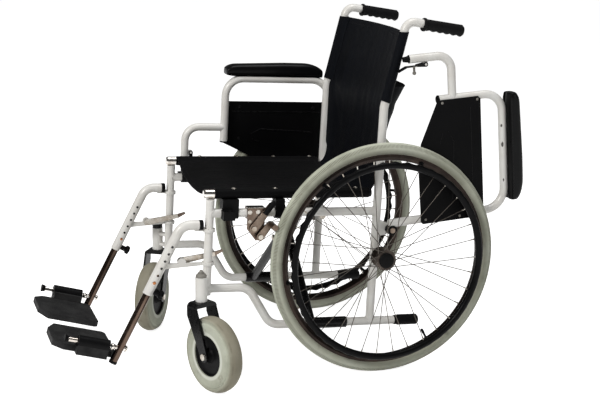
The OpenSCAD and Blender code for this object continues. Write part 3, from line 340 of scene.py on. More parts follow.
def cloth_mat(name, dark, light, across, weave=0.0011):
    """Woven nylon with threads along X and across: faint streaks, dust, soft creases and painted highlights
    on the raised threads.
    """
    m, nt, b, at = start(name, sheen=0.01, spec=0.06)
    fill(b, {"Sheen Roughness": 0.45})
    wave = {"Scale": 2 * pi / (20 * weave), "Distortion": 1.2, "Detail": 1, "Detail Scale": 0.4}
    threads = []
    for d in ("X", across):
        w = node(nt, "TexWave", wave, bands_direction=d)
        feed(nt, at, w.inputs["Vector"])
        threads.append(w.outputs["Fac"])
    height = mul(nt, threads[0], threads[1])
    along = 1 / 9
    streak = tex(nt, at, 30, 4, 0.6, stretch=(1, along, 1) if across == "Y" else (1, 1, along))
    light = rgb(*light)
    col = ramp(nt, streak, [(0.3, rgb(*dark)), (0.72, light)])
    # painted highlight: raised threads of the weave are lightened towards this colour
    thread_top_highlight = tuple(min(1, c * 2.2) for c in light[:3]) + (1,)
    col = mix(nt, mul(nt, height, 0.3), col, thread_top_highlight)
    lint = span(nt, tex(nt, at, 210, 3, 0.7), 0.67, 0.78, 0, 0.2)
    col = mix(nt, lint, col, rgb(52, 52, 56))
    feed(nt, col, b.inputs["Base Color"])
    feed(nt, span(nt, streak, 0.3, 0.7, 0.5, 0.72), b.inputs["Roughness"])
    under = bump(nt, b, tex(nt, at, 70, 4, 0.6), 0.0011, 0.55)
    bump(nt, b, height, 0.00022, 0.7, below=under)
    return m


def paint_mat(name, spots=()):
    """White powder coat, with larger dark chips at the given places: (centre, half sizes) in metres."""
    m = worn(name, (236, 235, 231), (222, 219, 213), (0.28, 0.4), 14, grain=(520, 100),
             chips=((96, 84, 70), 0.035, 34), coat=0.25, coat_rough=0.22)
    nt = m.node_tree
    base = nt.nodes["Principled BSDF"].inputs["Base Color"]
    for centre, half in spots:
        at = node(nt, "TexCoord").outputs["Object"]
        ragged = tex(nt, at, 420, 4, 0.7)
        away = vec(nt, "LENGTH", vec(nt, "DIVIDE", vec(nt, "SUBTRACT", at, centre), half))
        d = calc(nt, "ADD", away, mul(nt, ragged, 1.1))
        under = base.links[0].from_socket
        feed(nt, mix(nt, span(nt, d, 1.25, 1.4, 1, 0), under, rgb(58, 52, 46)), base)
    return m


paint = paint_mat("paint")
ARM_CHIPS = ((9, 190, 5, (0.004, 0.004, 0.009)), (8, 240, 6, (0.004, 0.003, 0.006)),
             (8, 95, 4, (0.004, 0.003, 0.008)))
paint_arm = paint_mat("paint_arm", [(arm("left", ARM_X + out, f, ARM_H - low), half)
                                    for out, f, low, half in ARM_CHIPS])
gloss_black = worn("gloss_black", (14, 14, 15), (8, 8, 9), (0.22, 0.36), 18, soft=1.2,
                   chips=((60, 55, 50), 0.008, 30), coat=0.08, coat_rough=0.15, spec=0.12)
plastic = worn("plastic", (15, 15, 16), (8, 8, 9), (0.42, 0.58), 26, grain=(900, 160), soft=1.1, spec=0.08)
plate_top = worn("plate_top", (52, 52, 52), (30, 30, 31), (0.55, 0.78), 30, grain=(330, 700), soft=1.6,
                 spec=0.12)
panel = worn("panel", (11, 11, 12), (6, 6, 7), (0.36, 0.52), 9, grain=(640, 200), soft=0.8, spec=0.06)
rubber = worn("rubber", (16, 16, 17), (9, 9, 10), (0.55, 0.72), 30, grain=(420, 250), soft=1, spec=0.1)
vinyl = worn("vinyl", (12, 12, 13), (7, 7, 8), (0.26, 0.4), 24, grain=(520, 220), coat=0.04, spec=0.1)
zinc = worn("zinc", (206, 203, 196), (150, 138, 124), (0.22, 0.4), 30, grain=(700, 80), soft=0.8, metal=1)
brown_steel = worn("brown_steel", (132, 118, 106), (78, 62, 52), (0.26, 0.46), 24, grain=(700, 100),
                   soft=0.8, metal=1)
hub_steel = worn("hub_steel", (84, 76, 70), (38, 33, 30), (0.3, 0.5), 40, grain=(700, 100), soft=0.6,
                 metal=0.9)
chrome = worn("chrome", (226, 224, 220), (176, 164, 152), (0.07, 0.16), 26, grain=(900, 20), soft=0.6,
              metal=1)
# painted reflection: the leg chrome is tinted dark brown and streaked along its height, standing in for
# reflected dark surroundings
chrome_painted_reflection = worn("chrome_painted_reflection", (108, 91, 80), (46, 37, 32), (0.12, 0.26), 12, grain=(900, 30),
                   stretch=(1, 1, 0.35), metal=1)
rim_metal = worn("rim_metal", (52, 43, 38), (20, 17, 16), (0.24, 0.42), 12, grain=(900, 60), metal=0.9)
spoke_steel = worn("spoke_steel", (104, 98, 91), (66, 60, 54), (0.26, 0.4), 16, metal=0.7)
copper = worn("copper", (196, 132, 84), (132, 84, 54), (0.3, 0.45), 60, metal=1)
ring_black = worn("ring_black", (13, 13, 14), (7, 7, 8), (0.3, 0.46), 16, grain=(420, 180), coat=0.02,
                  spec=0.06)
thread = worn("thread", (34, 34, 36), (18, 18, 20), (0.6, 0.8), 220, spec=0.2)
cap_grey = worn("cap_grey", (150, 147, 140), (112, 108, 100), (0.4, 0.6), 40, soft=0.8)
nylon = cloth_mat("nylon", (4, 4, 5), (11, 11, 12), "Y")
nylon_back = cloth_mat("nylon_back", (4, 5, 8), (11, 13, 18), "Z")


def put(name, data):
    """New object in the scene."""
    ob = bpy.data.objects.new(name, data)
    scene.collection.objects.link(ob)
    return ob


# mesh building
class Build:
    """Collects vertices and faces in metres."""

    def __init__(self):
        self.v, self.f = [], []

    def add(self, verts, faces):
        k = len(self.v)
        self.v += [Vector(p) for p in verts]
        self.f += [tuple(i + k for i in f) for f in faces]

    def grid(self, rows, close_i=False, close_j=False):
        """Skin over rows of points, closed over the rows or along them where asked."""
        n, m = len(rows), len(rows[0])
        faces = []
        for i in range(n if close_i else n - 1):
            for j in range(m if close_j else m - 1):
                a, b = (i + 1) % n, (j + 1) % m
                faces.append((i * m + j, i * m + b, a * m + b, a * m + j))
        self.add([p for r in rows for p in r], faces)

    def tube(self, rows):
        """Skin over rings of points, with a face over each end."""
        first, n = len(self.v), len(rows[0])
        last = first + (len(rows) - 1) * n
        self.grid(rows, close_j=True)
        self.f.append(tuple(first + j for j in reversed(range(n))))
        self.f.append(tuple(last + j for j in range(n)))

    def lathe(self, at, axis, profile, n):
        """Turned form; profile is (radius, height along axis) in mm, from one end to the other."""
        z = Vector(axis).normalized()
        x = z.orthogonal().normalized()
        y = z.cross(x)
        self.tube([[Vector(at) + (z * h + (x * cos(t) + y * sin(t)) * r) / 1000 for t in turns(n)]
                   for r, h in profile])

    def rod(self, a, b, r, n):
        d = b - a
        self.lathe(a, d, [(r, 0), (r, d.length * 1000)], n)

    def sweep(self, pts, r, n, closed=False):
        """Round bead of radius r (mm) along points."""
        m = len(pts)
        rows, side = [], None
        for i, p in enumerate(pts):
            before, after = (i - 1, (i + 1) % m) if closed else (max(0, i - 1), min(m - 1, i + 1))
            d = (pts[after] - pts[before]).normalized()
            side = d.orthogonal().normalized() if side is None else (side - d * side.dot(d)).normalized()
            up = d.cross(side)
            rows.append([p + (side * cos(t) + up * sin(t)) * r / 1000 for t in turns(n)])
        if closed:
            self.grid(rows, close_i=True, close_j=True)
        else:
            self.tube(rows)

    def sheet(self, rows, t, keep):
        """Cloth of thickness t (mm) about a grid of points, with only the kept cells."""
        n, m = len(rows), len(rows[0])
        upper, lower = [], []
        for i in range(n):
            for j in range(m):
                a = rows[min(n - 1, i + 1)][j] - rows[max(0, i - 1)][j]
                b = rows[i][min(m - 1, j + 1)] - rows[i][max(0, j - 1)]
                half = a.cross(b).normalized() * t / 2000
                upper.append(rows[i][j] + half)
                lower.append(rows[i][j] - half)

        def on(i, j):
            return 0 <= i < n - 1 and 0 <= j < m - 1 and keep(i, j)
        faces = []
        for i in range(n - 1):
            for j in range(m - 1):
                if not on(i, j):
                    continue
                q = [i * m + j, i * m + j + 1, (i + 1) * m + j + 1, (i + 1) * m + j]
                faces += [tuple(q), tuple(k + n * m for k in reversed(q))]
                for k, (a, b) in enumerate(((i - 1, j), (i, j + 1), (i + 1, j), (i, j - 1))):
                    if not on(a, b):
                        x, y = q[k], q[(k + 1) % 4]
                        faces.append((y, x, x + n * m, y + n * m))
        self.add(upper + lower, faces)

    def make(self, name, mat, body=None, crease=40):
        """Object of what was collected, with sharp edges above the crease angle."""
        me = bpy.data.meshes.new(name)
        me.from_pydata(self.v, [], self.f)
        bm = bmesh.new()
        bm.from_mesh(me)
        bmesh.ops.delete(bm, geom=[v for v in bm.verts if not v.link_faces], context="VERTS")
        bmesh.ops.recalc_face_normals(bm, faces=bm.faces)
        for f in bm.faces:
            f.smooth = True
        for e in bm.edges:
            if len(e.link_faces) == 2 and e.calc_face_angle(0) > radians(crease):
                e.smooth = False
        bm.to_mesh(me)
        bm.free()
        me.materials.append(mat)
        ob = put(name, me)
        if body:
            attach(ob, body)
        return ob


def turned(name, mat, body, slot, axis, profile, n, *places):
    """One piece of equal turned forms at the given places."""
    m = Build()
    for p in places:
        m.lathe(p, axis, profile, n)
    m.make(name, mat, body)


def sewn(name, mat, rows, t=CLOTH, keep=lambda i, j: True, body=None):
    """Piece of cloth about a grid of points."""
    m = Build()
    m.sheet(rows, t, keep)
    return m.make(name, mat, body, crease=60)


# camera by azimuth, elevation and roll; floor and light
AZ, EL, ROLL = radians(72.24), radians(12.76), radians(0.57)
back = Vector((sin(AZ) * cos(EL), -cos(AZ) * cos(EL), sin(EL)))
right = Vector((0, 0, 1)).cross(back).normalized()
up = back.cross(right)
turn = Matrix((right * cos(ROLL) + up * sin(ROLL), up * cos(ROLL) - right * sin(ROLL), back)).transposed()
cam = scene.camera = put("camera", bpy.data.cameras.new("camera"))
cam.matrix_world = Matrix.Translation((3.41801, -1.23098, 1.2163)) @ turn.to_4x4()
cam.data.lens = 81.08
cam.data.clip_start, cam.data.clip_end = 0.05, 200

FLOOR = 60
floor_mat, nt, b, at = start("floor", rough=0.9, spec=0.1)
pale = ramp(nt, tex(nt, at, 3, 3), [(0.3, (0.86, 0.86, 0.855, 1)), (0.7, (0.9, 0.9, 0.895, 1))])
feed(nt, pale, b.inputs["Base Color"])
fill(b, {"Emission Color": (1, 1, 1, 1)})
path = node(nt, "LightPath").outputs
through = calc(nt, "ADD", path["Is Glossy Ray"], path["Is Transmission Ray"])
seen = calc(nt, "ADD", path["Is Camera Ray"], through)
feed(nt, mul(nt, seen, 0.88), b.inputs["Emission Strength"])
m = Build()
m.grid([[(x, y, 0) for x in (-FLOOR, FLOOR)] for y in (-FLOOR, FLOOR)])
m.make("floor", floor_mat)

world = scene.world = bpy.data.worlds.new("studio")
world.use_nodes = True
fill(world.node_tree.nodes["Background"], {"Color": (1, 0.995, 0.985, 1), "Strength": 0.13})
scene.view_settings.view_transform = "Standard"


def lamp(name, place, target, size, power, colour=(1, 1, 1)):
    """Round area lamp aimed at a target."""
    d = bpy.data.lights.new(name, "AREA")
    d.shape, d.size, d.energy, d.color = "DISK", size, power, colour
    o = put(name, d)
    o.location = place
    o.rotation_euler = (Vector(target) - Vector(place)).to_track_quat("-Z", "Y").to_euler()


lamp("key", (2.2, -3.4, 3.2), (0, -0.2, 0.5), 1.4, 125, (1, 0.99, 0.975))
lamp("top", (0.3, 0.4, 4.2), (0, 0, 0.4), 2.2, 74)
lamp("fill", (3.6, 2.6, 1.8), (0, 0, 0.5), 1.8, 16, (0.97, 0.985, 1))


# CAD nodes keep their shape and get their finish
def dress(name, base, *rules):
    """Materials of a CAD node: base, and each (material, test) on the faces whose centre passes the test."""
    me = NODES[name].data
    me.materials.clear()
    for mat in (base, *(mat for mat, _ in rules)):
        me.materials.append(mat)
    for p in me.polygons:
        p.material_index = 0
        for i, (_, test) in enumerate(rules):
            if test(p.center):
                p.material_index = i + 1
                break


def beside(c, p):
    """Distance of two points as seen from the side of the chair, in millimetres."""
    return hypot(c.y - p.y, c.z - p.z) * 1000


def by_axis(c, p, d):
    """How far c lies along the axis through p with direction d, and how far from it, in millimetres."""
    o = c - p
    k = o.dot(d)
    return k * 1000, (o - d * k).length * 1000


def lateral(c):
    """Distance from the middle plane of the chair, in millimetres."""
    return abs(c.x) * 1000


# where a second finish begins, in millimetres out, along an axis or from it
PIN_FROM, PIN_R = 238.5, 9.5
LEVER_X, LEVER_GRIP, LEVER_FROM = 251, ((312, 115), (294, 141)), 244.2
LOCK_NUT_FROM = 244.5
RAIL_END, RAIL_ABOVE = 440.5, 140
CENTRE_BOLT_R, CENTRE_BOLT_FROM = 8.5, 208


def dress_frame(side, s):
    """Armrest pivot pin, wheel lock and cross bar."""
    pivot = arm(side, s * ARM_X, 0, 0)
    dress("back_post_" + side, paint,
          (brown_steel, lambda c: lateral(c) > PIN_FROM and beside(c, pivot) < PIN_R))
    dress("wheel_lock_bracket_" + side, brown_steel, (zinc, lambda c: lateral(c) > LOCK_NUT_FROM))
    grip, grip_end = (L(s * LEVER_X, u, w) for u, w in LEVER_GRIP)
    along = (grip_end - grip).normalized()
    dress("wheel_lock_lever_" + side, brown_steel,
          (rubber, lambda c: by_axis(c, grip, along)[0] > -1 and lateral(c) > LEVER_FROM))
    dress("cross_bar_" + side, gloss_black,
          (chrome, lambda c: to_uw(c)[0] > RAIL_END and to_uw(c)[1] > RAIL_ABOVE),
          (zinc, lambda c: lateral(c) < CENTRE_BOLT_R and to_uw(c)[0] > CENTRE_BOLT_FROM))


HUB_CAP_FROM = WHEEL_X + 22.2
FORK_BOLT_FROM, FORK_BOLT_R = 32.1, 9.6
TREAD_R, TYRE_TICKS = WHEEL_R - 14, 520
# ticks, where the tread begins, half width and pale ring, a painted highlight
CASTER_TYRE = (10, 94, 22, 52)


def dress_wheels(side, s):
    """Tyres, each with a material about its own axle, hub and caster fork."""
    centre = (s * WHEEL_X / 1000, 0, WHEEL_R / 1000)
    dress("tyre_" + side, tyre_mat("tyre_" + side, centre, (1, 0, 0), TYRE_TICKS, TREAD_R, TYRE_R))
    dress("hub_" + side, hub_steel, (plastic, lambda c: lateral(c) > HUB_CAP_FROM))
    t = SWIVEL[side]
    axle = Vector((s * BARREL_X - TRAIL * sin(t), BARREL_Y + TRAIL * cos(t), CASTER_R)) / 1000
    axis = Vector((cos(t), sin(t), 0))

    def bolt(c):
        along, away = by_axis(c, axle, axis)
        return abs(along) > FORK_BOLT_FROM and away < FORK_BOLT_R
    dress("caster_fork_" + side, gloss_black, (zinc, bolt),
          (cap_grey if side == "left" else gloss_black, lambda c: c.z > BARREL_TOP / 1000))
    dress("caster_tyre_" + side, tyre_mat("caster_" + side, axle, axis, *CASTER_TYRE))


PIVOT_PLUG_R, LEG_PLUG, LEG_PLUG_R = 13.4, (ARM_LEG, 60), 14.5
PULL, PULL_FROM, PULL_HALF = (421, 82), 3, 5.6


def dress_arm(side, s):
    """Armrest with its plugs and the pull of its latch."""
    pivot, end = arm(side, s * ARM_X, 0, 0), arm(side, s * ARM_X, *LEG_PLUG)
    dress("arm_frame_" + side, paint_arm if side == "left" else paint,
          (plastic, lambda c: beside(c, pivot) < PIVOT_PLUG_R),
          (plastic, lambda c: (c - end).length * 1000 < LEG_PLUG_R))
    pull, rearward, upward = arm(side, s * ARM_X, *PULL), arm_way(side, -1, 0), arm_way(side, 0, 1)

    def pulled(c):
        behind, above = (by_axis(c, pull, d)[0] for d in (rearward, upward))
        return behind > PULL_FROM and abs(above) < PULL_HALF
    dress("arm_latch_" + side, gloss_black, (cap_grey, pulled))


STUD_FROM, STUD_R = 13.5, 9
HOLE_OUT, HOLE_R = 236.5, 3.35
LATCH_PIN, LATCH_PIN_IN, LATCH_PIN_R = (HANGER_U - 4, -12), 223.2, 4.2
LATCH_BODY_TO = FRONT_U - 13
BALL_FROM, HOUSING_R = HOUSING + HOUSING_LEN + 23.5, 15.2


def dress_footrest(side, s):
    """Hanger with its clamp, holes darkened with painted shade and latch pin, then latch, hinge rod and
    plate.
    """
    pin = L(s * FRAME_X, *LATCH_PIN)
    holes = [hanger(0, d) for d in HOLES_AT]

    def clamp(c):
        along, away = by_axis(c, *clamp_axis(s))
        return along > STUD_FROM and away < STUD_R
    # the faces round the outer holes are coloured black as painted shade inside the holes
    dress("footrest_hanger_" + side, paint, (plastic, clamp),
          (plastic, lambda c: lateral(c) > HOLE_OUT and min(beside(c, p) for p in holes) < HOLE_R),
          (zinc, lambda c: beside(c, pin) < LATCH_PIN_R and lateral(c) < LATCH_PIN_IN))
    dress("footrest_latch_" + side, zinc, (brown_steel, lambda c: to_uw(c)[0] < LATCH_BODY_TO))
    hinge, rod = hanger(s * FRAME_X, HINGE_AT), way(cos(ROD_PITCH), sin(ROD_PITCH))
    dress("hinge_rod_" + side, chrome, (plastic, lambda c: by_axis(c, hinge, rod)[0] > BALL_FROM))
    dress("footplate_" + side, plate_top, (plastic, lambda c: by_axis(c, hinge, rod)[1] < HOUSING_R))


PLAIN = {"front_post": paint, "seat_side_tube": paint, "lower_side_tube": paint, "push_grip": rubber,
         "tipping_tip": rubber, "seat_saddles": plastic, "wheel_lock_shoe": brown_steel, "wheel_axle": zinc,
         "rim": rim_metal, "spokes": spoke_steel, "caster_hub": plastic, "arm_panel": panel,
         "footrest_leg": chrome_painted_reflection}
for side, s in SIDES:
    for name, mat in PLAIN.items():
        dress(name + "_" + side, mat)
    dress_frame(side, s)
    dress_wheels(side, s)
    dress_arm(side, s)
    dress_footrest(side, s)


# seat cloth
SEAT_FROM, SEAT_TO = 30, 438
SEAT_EDGE = RAIL_X - HEM_IN * sin(SAG)
SEAT_TOP = RAIL_W + (HEM_IN + CLOTH) * cos(SAG)
SEAT_DEPTH = SEAT_EDGE * tan(SAG) / 2
SEAT_FLAT = 0.86
SEAT_DROOP = 12
SEAT_ROWS, WEB_STEPS, HEM_STEPS, HEM_CUT, BAR_GAP = 48, 32, 26, 15, 14.6
SEWN_X = (184, 189, 194, 199)
SEAT_CELLS = 2 * (len(SEWN_X) + HEM_STEPS + WEB_STEPS)
UNEVEN, UNEVEN_X = 2.2, -150
SCREWS = {"left": (66, 174, 282, 390), "right": (48, 156, 264, 372)}


def seat_u(k):
    """u of a row of the seat cloth."""
    return SEAT_FROM + (SEAT_TO - SEAT_FROM) * k / SEAT_ROWS


def seat_web(x, u):
    """Height of the middle of the seat cloth's thickness: sagging, creased and pulled down at the screws."""
    t = (u - SEAT_FROM) / (SEAT_TO - SEAT_FROM)
    q = x / SEAT_EDGE
    z = SEAT_TOP - SEAT_DEPTH * (1 - q * q) * (SEAT_FLAT + (1 - SEAT_FLAT) * t)
    z -= SEAT_DROOP * exp(-((t - 1) * 9) ** 2) * (1 - q ** 4)
    free = 1 - abs(q) ** 6
    z += free * 0.9 * noise.noise(Vector((x * 0.008, u * 0.021, 3.1)))
    z += free * 0.5 * noise.noise(Vector((x * 0.03, u * 0.05, 9.4)))
    for n in SCREWS["left" if x > 0 else "right"]:
        z -= 0.8 * exp(-((u - n) / 9) ** 2) * exp(-((abs(x) - SEAT_EDGE) / 46) ** 2) * free
    return z - CLOTH / 2


def seat_path(u, s):
    """Half of the section, from the sewn end below the web round the rail and along the web to the middle."""
    r = HEM_IN + CLOTH / 2
    pts = [(x, seat_web(x, u) - CLOTH - 0.5 - max(0, x - 194) * 0.25) for x in SEWN_X]
    for k in range(HEM_STEPS + 1):
        a = radians(-152 + k * (259 / HEM_STEPS))
        pts.append((RAIL_X + r * cos(a), RAIL_W + r * sin(a)))
    for k in range(1, WEB_STEPS + 1):
        x = SEAT_EDGE * (1 - k / WEB_STEPS)
        pts.append((x, seat_web(x, u)))
    return [(s * x, z) for x, z in pts]


def hemmed(i, j):
    """The hem is cut away below where a cross bar meets the rail."""
    if HEM_CUT <= j < SEAT_CELLS - HEM_CUT:
        return True
    bar = BAR_U["left" if j < HEM_CUT else "right"]
    return seat_u(i + 1) < bar - BAR_GAP or seat_u(i) > bar + BAR_GAP


def seat_grid():
    """Points of the seat cloth, from rear to front; the front edge is a little off at the right."""
    rows = []
    for k in range(SEAT_ROWS + 1):
        u = seat_u(k)
        off = UNEVEN * noise.noise(Vector((k, 1.3, 0.7))) if k == SEAT_ROWS else 0
        section = seat_path(u, 1) + seat_path(u, -1)[-2::-1]
        rows.append([L(x, u + (off if x < UNEVEN_X else 0), z) for x, z in section])
    return rows


def stitch(m, path, pitch=5.2, length=3.6, r=0.42):
    """Short threads along a path of points."""
    def point(d):
        for a, b in zip(path, path[1:]):
            step = (b - a).length
            if d <= step or b is path[-1]:
                return a.lerp(b, min(1, d / max(step, 1e-9)))
            d -= step
    total = run(path)
    at = pitch / 2000
    while at < total - pitch / 2000:
        m.rod(point(at - length / 2000), point(at + length / 2000), r, 5)
        at += pitch / 1000


def seat_line(places):
    """Line on top of the seat cloth through the given (x, u)."""
    return [L(x, u, seat_web(x, u) + CLOTH / 2 + 0.25) for x, u in places]


def seat_stitches():
    """Two seams along each rail and one along the front and the rear edge."""
    m = Build()
    for s in (1, -1):
        for x in (188, 195):
            stitch(m, seat_line([(s * x, SEAT_FROM + 6 + k * 11.6) for k in range(35)]))
    for u in (SEAT_TO - 12, SEAT_FROM + 12):
        stitch(m, seat_line([(x * 6, u) for x in range(-33, 34)]))
    return m.make("seat_stitching", thread)


rows = seat_grid()
seat = sewn("seat_cloth", nylon, rows, keep=hemmed)
seat_thread = seat_stitches()
for ob in (seat, seat_thread):
    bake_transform(ob)
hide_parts("seat_sling")

SCREW = [(6.2, 0), (6.2, 0.7), (5.4, 1), (4.3, 1.1), (4.1, 1.9), (3, 2.6), (1.2, 2.8), (1, 2.2)]
for side, s in SIDES:
    # the left rail belongs to the right cross bar, and the other way round
    bar = "right_cross_bar" if s > 0 else "left_cross_bar"
    turned("seat_screws_" + side, zinc, bar, "steel", way(0, 1), SCREW, 20,
           *(L(s * (RAIL_X - 1), u, RAIL_W + HEM_IN + CLOTH - 0.1) for u in SCREWS[side]))


# back cloth, sleeves and pocket
BELLY, BELLY_X = 24, 215
SLEEVE_0 = 16
SLEEVE_1 = LEAN_LEN - HANDLE_BEND * tan((pi / 2 + HANDLE_DROP - LEAN) / 2) - 4
BACK_TOP = LEAN_W + SLEEVE_1 * cos(LEAN)
SEAM = 197
BACK_COLS, BACK_ROWS, FLAP_STEPS, BACK_MEASURED = 64, 52, 3, 45
ON_CLOTH = CLOTH / 2 + 0.3


def post_u(w):
    """u of a back post's middle."""
    return BACK_U if w < LEAN_W else BACK_U - (w - LEAN_W) * tan(LEAN)


def bow(w):
    """Backward belly at the middle of the back."""
    return BELLY * (0.25 + 0.75 * smooth((w - 150) / 150))


def crease(x, w, x0, w0, ang, width, reach, amp):
    """Soft ridge that starts at (x0, w0), runs along ang and fades over reach."""
    dx, dw = x - x0, w - w0
    a = dx * cos(ang) + dw * sin(ang)
    b = -dx * sin(ang) + dw * cos(ang)
    if a < -30:
        return 0
    far = max(0, a) / reach
    return amp * exp(-(b / (width * (1 + far))) ** 2) * smooth((a + 30) / 40) * exp(-far)


# creases from the sleeves' ends: x, w, direction, width, reach and height
CREASES = ((190, LEAN_W + 8, radians(-140), 9, 90, 4.2), (192, LEAN_W - 6, radians(-118), 8, 120, 3.2),
           (188, BACK_TOP - 14, radians(-150), 9, 70, 1.8))


def back_web(x, w):
    """u of the back cloth's middle."""
    q = x / BELLY_X
    u = post_u(w) - bow(w) * (1 - q * q) - 0.8
    low = smooth((LEAN_W + 40 - w) / 160)
    free = 1 - (x / SEAM) ** 6
    u += free * (1.2 + 1.5 * low) * noise.noise(Vector((x * 0.022, w * 0.0045, 1.7)))
    u += free * 0.7 * noise.noise(Vector((x * 0.06, w * 0.012, 5.2)))
    for s in (1, -1):
        for fold in CREASES:
            u -= crease(s * x, w, *fold)
    return u


def back_edge(w):
    """Half width of the back cloth, wider where the sleeves end."""
    return SEAM + 4 + 10 * smooth((LEAN_W + 26 - w) / 16) * smooth((w - 190) / 40)


# The lower edge turns forward below the seat: u forward and height over the seat's rear edge, cloth middle.
FLAP = [(52, -8.8), (39, -9.4), (26.8, -9.2), (16.4, -4), (8.7, 8.8), (4.2, 28)]


def flap(x, t):
    """(u, w) of the turned edge on a smooth curve through FLAP; at t = 6 it joins the upright cloth."""
    q = x / BELLY_X
    base = SEAT_TOP - SEAT_DEPTH * (1 - (x / SEAT_EDGE) ** 2) * SEAT_FLAT
    ring = [(u - bow(base + h) * (1 - q * q) * min(1, k / 4), base + h) for k, (u, h) in enumerate(FLAP)]
    ring += [(back_web(x, base + h), base + h) for h in (50, 75)]
    ring = [tuple(2 * a - b for a, b in zip(ring[0], ring[1]))] + ring
    k = min(len(FLAP) - 1, int(t))
    f = t - k
    return tuple(0.5 * (2 * b + (c - a) * f + (2 * a - 5 * b + 4 * c - d) * f * f
                        + (3 * b - a - 3 * c + d) * f ** 3) for a, b, c, d in zip(*ring[k:k + 4]))


def back_grid():
    """Points of the back cloth: the turned lower edge, then the upright part."""
    across = [1 - 2 * i / BACK_COLS for i in range(BACK_COLS + 1)]
    rows = []
    for k in range(len(FLAP) * FLAP_STEPS):
        rows.append([L(q * back_edge(0), *flap(q * back_edge(0), k / FLAP_STEPS)) for q in across])
    for k in range(BACK_ROWS + 1):
        line = []
        for q in across:
            low = flap(q * back_edge(0), len(FLAP))[1]
            w = low + (BACK_TOP - low) * k / BACK_ROWS
            x = q * back_edge(w)
            line.append(L(x, back_web(x, w), w))
        rows.append(line)
    return rows


POCKET_LOW, POCKET_TOP, POCKET_X, POCKET_DEEP = 226, 430, 188, 66
POCKET_ROWS, POCKET_COLS = 28, 44


def pocket_grid():
    """Points of the pocket, from its sewn lower edge to its open mouth."""
    rows = []
    for k in range(POCKET_ROWS + 1):
        t = k / POCKET_ROWS
        w = POCKET_LOW + (POCKET_TOP - POCKET_LOW) * t
        line = []
        for i in range(POCKET_COLS + 1):
            q = 2 * i / POCKET_COLS - 1
            x = q * POCKET_X
            bulge = POCKET_DEEP * t * (1 - abs(q) ** 10) + 1.7
            sag = 1.4 * noise.noise(Vector((x * 0.03, w * 0.02, 7.7))) * (1 - q ** 6) * t
            line.append(L(x, back_web(x, w) - bulge - max(-1.2, sag), w))
        rows.append(line)
    return rows


def back_line(places, off):
    """Line off the middle of the back cloth through the given (x, w)."""
    return [L(x, back_web(x, w) + off, w) for x, w in places]


def back_stitches(pocket_rows):
    """Seams beside the sleeves, along the top on both faces, and round the pocket."""
    m = Build()
    for s in (1, -1):
        stitch(m, back_line([(s * (SEAM - 3), LEAN_W + 22 + k * 4.1) for k in range(36)], ON_CLOTH))
    for face in (1, -1):
        stitch(m, back_line([(x * 6, BACK_TOP - 14) for x in range(-32, 33)], face * ON_CLOTH))
    behind = way(-1, 0) * ON_CLOTH / 1000
    for j in (1, POCKET_COLS - 1):
        stitch(m, [r[j] + behind for r in pocket_rows[1:-1]])
    stitch(m, [p + behind for p in pocket_rows[1][1:-1]])
    return m.make("back_stitching", thread)


rows = back_grid()
back_cloth = sewn("back_cloth", nylon_back, rows)
rows = pocket_grid()
pocket = sewn("back_pocket", nylon_back, rows)
m = Build()
m.sweep(rows[-1], 1.7, 8)
pocket_hem = m.make("pocket_hem", nylon_back)
back_thread = back_stitches(rows)
for ob in (back_cloth, pocket, pocket_hem, back_thread):
    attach(ob, "left_frame")
    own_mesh(ob)
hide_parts("back_sling")

# a sleeve goes round its post and lies on both faces of the cloth
SLEEVE_R, SLEEVE_REACH, SLEEVE_T = HEM_IN + CLOTH / 2 + 0.2, FRAME_X - SEAM, 1.3
SLEEVE_ROWS, SLEEVE_TURNS = 36, 30


def sleeve_section():
    """Section of a sleeve as (inward of the post, forward of it)."""
    seam = [(SLEEVE_REACH + 2.5, 1.45), (SLEEVE_REACH - 9, 2.4), (SLEEVE_REACH - 16, 5.2)]
    gap = acos(SLEEVE_R / SLEEVE_REACH)
    angles = [gap + (2 * pi - 2 * gap) * k / SLEEVE_TURNS for k in range(SLEEVE_TURNS + 1)]
    round_post = [(SLEEVE_R * cos(a), SLEEVE_R * sin(a)) for a in angles]
    return seam + round_post + [(a, -b) for a, b in reversed(seam)]


def sleeve_point(s, a, b, d):
    """Point (a, b) of a sleeve's section at d up the leaning post, puckered, and skewed at the lower end."""
    w = LEAN_W + d * cos(LEAN)
    pucker = 0.55 * noise.noise(Vector((a * 0.05, b * 0.05, d * 0.05 + s)))
    swell = 1 + max(0, pucker) / max(hypot(a, b), 1)
    skew = (b * 0.35 - 2) * smooth((SLEEVE_0 + 30 - d) / 30)
    toward = smooth((a - 4) / (SLEEVE_REACH - 5))
    u = post_u(w) + b * swell + toward * (back_web(s * SEAM, w) - post_u(w))
    return L(s * (FRAME_X - a * swell), u, w + skew)


heights = [SLEEVE_0 + (SLEEVE_1 - SLEEVE_0) * k / SLEEVE_ROWS for k in range(SLEEVE_ROWS + 1)]
for side, s in SIDES:
    rows = [[sleeve_point(s, a, b, d) for a, b in sleeve_section()] for d in heights]
    sewn("back_sleeve_" + side, nylon_back, rows, SLEEVE_T, body=side + "_frame")

# arm pads: crowned moulded foam on the top tube, lower at both ends
PAD_0, PAD_LEN, PAD_W, PAD_H = 42, 284, 48, 38
PAD_X, PAD_LOW = ARM_X + PAD_W / 2 - 13, ARM_H + TUBE - 3
PAD_STEPS, PAD_ROUND, GROOVE_STEPS, GROOVE_R = 40, 44, 8, 11.35
PAD_NOSE, PAD_REAR, PAD_FRONT, PAD_SLOPE = 17, 60, 30, 170
PAD_LIFT, PAD_LIFT_LEN = 3, 22
PIPING_AT = (4, 39)


def signed_power(v, power):
    return abs(v) ** power * (1 if v > 0 else -1)


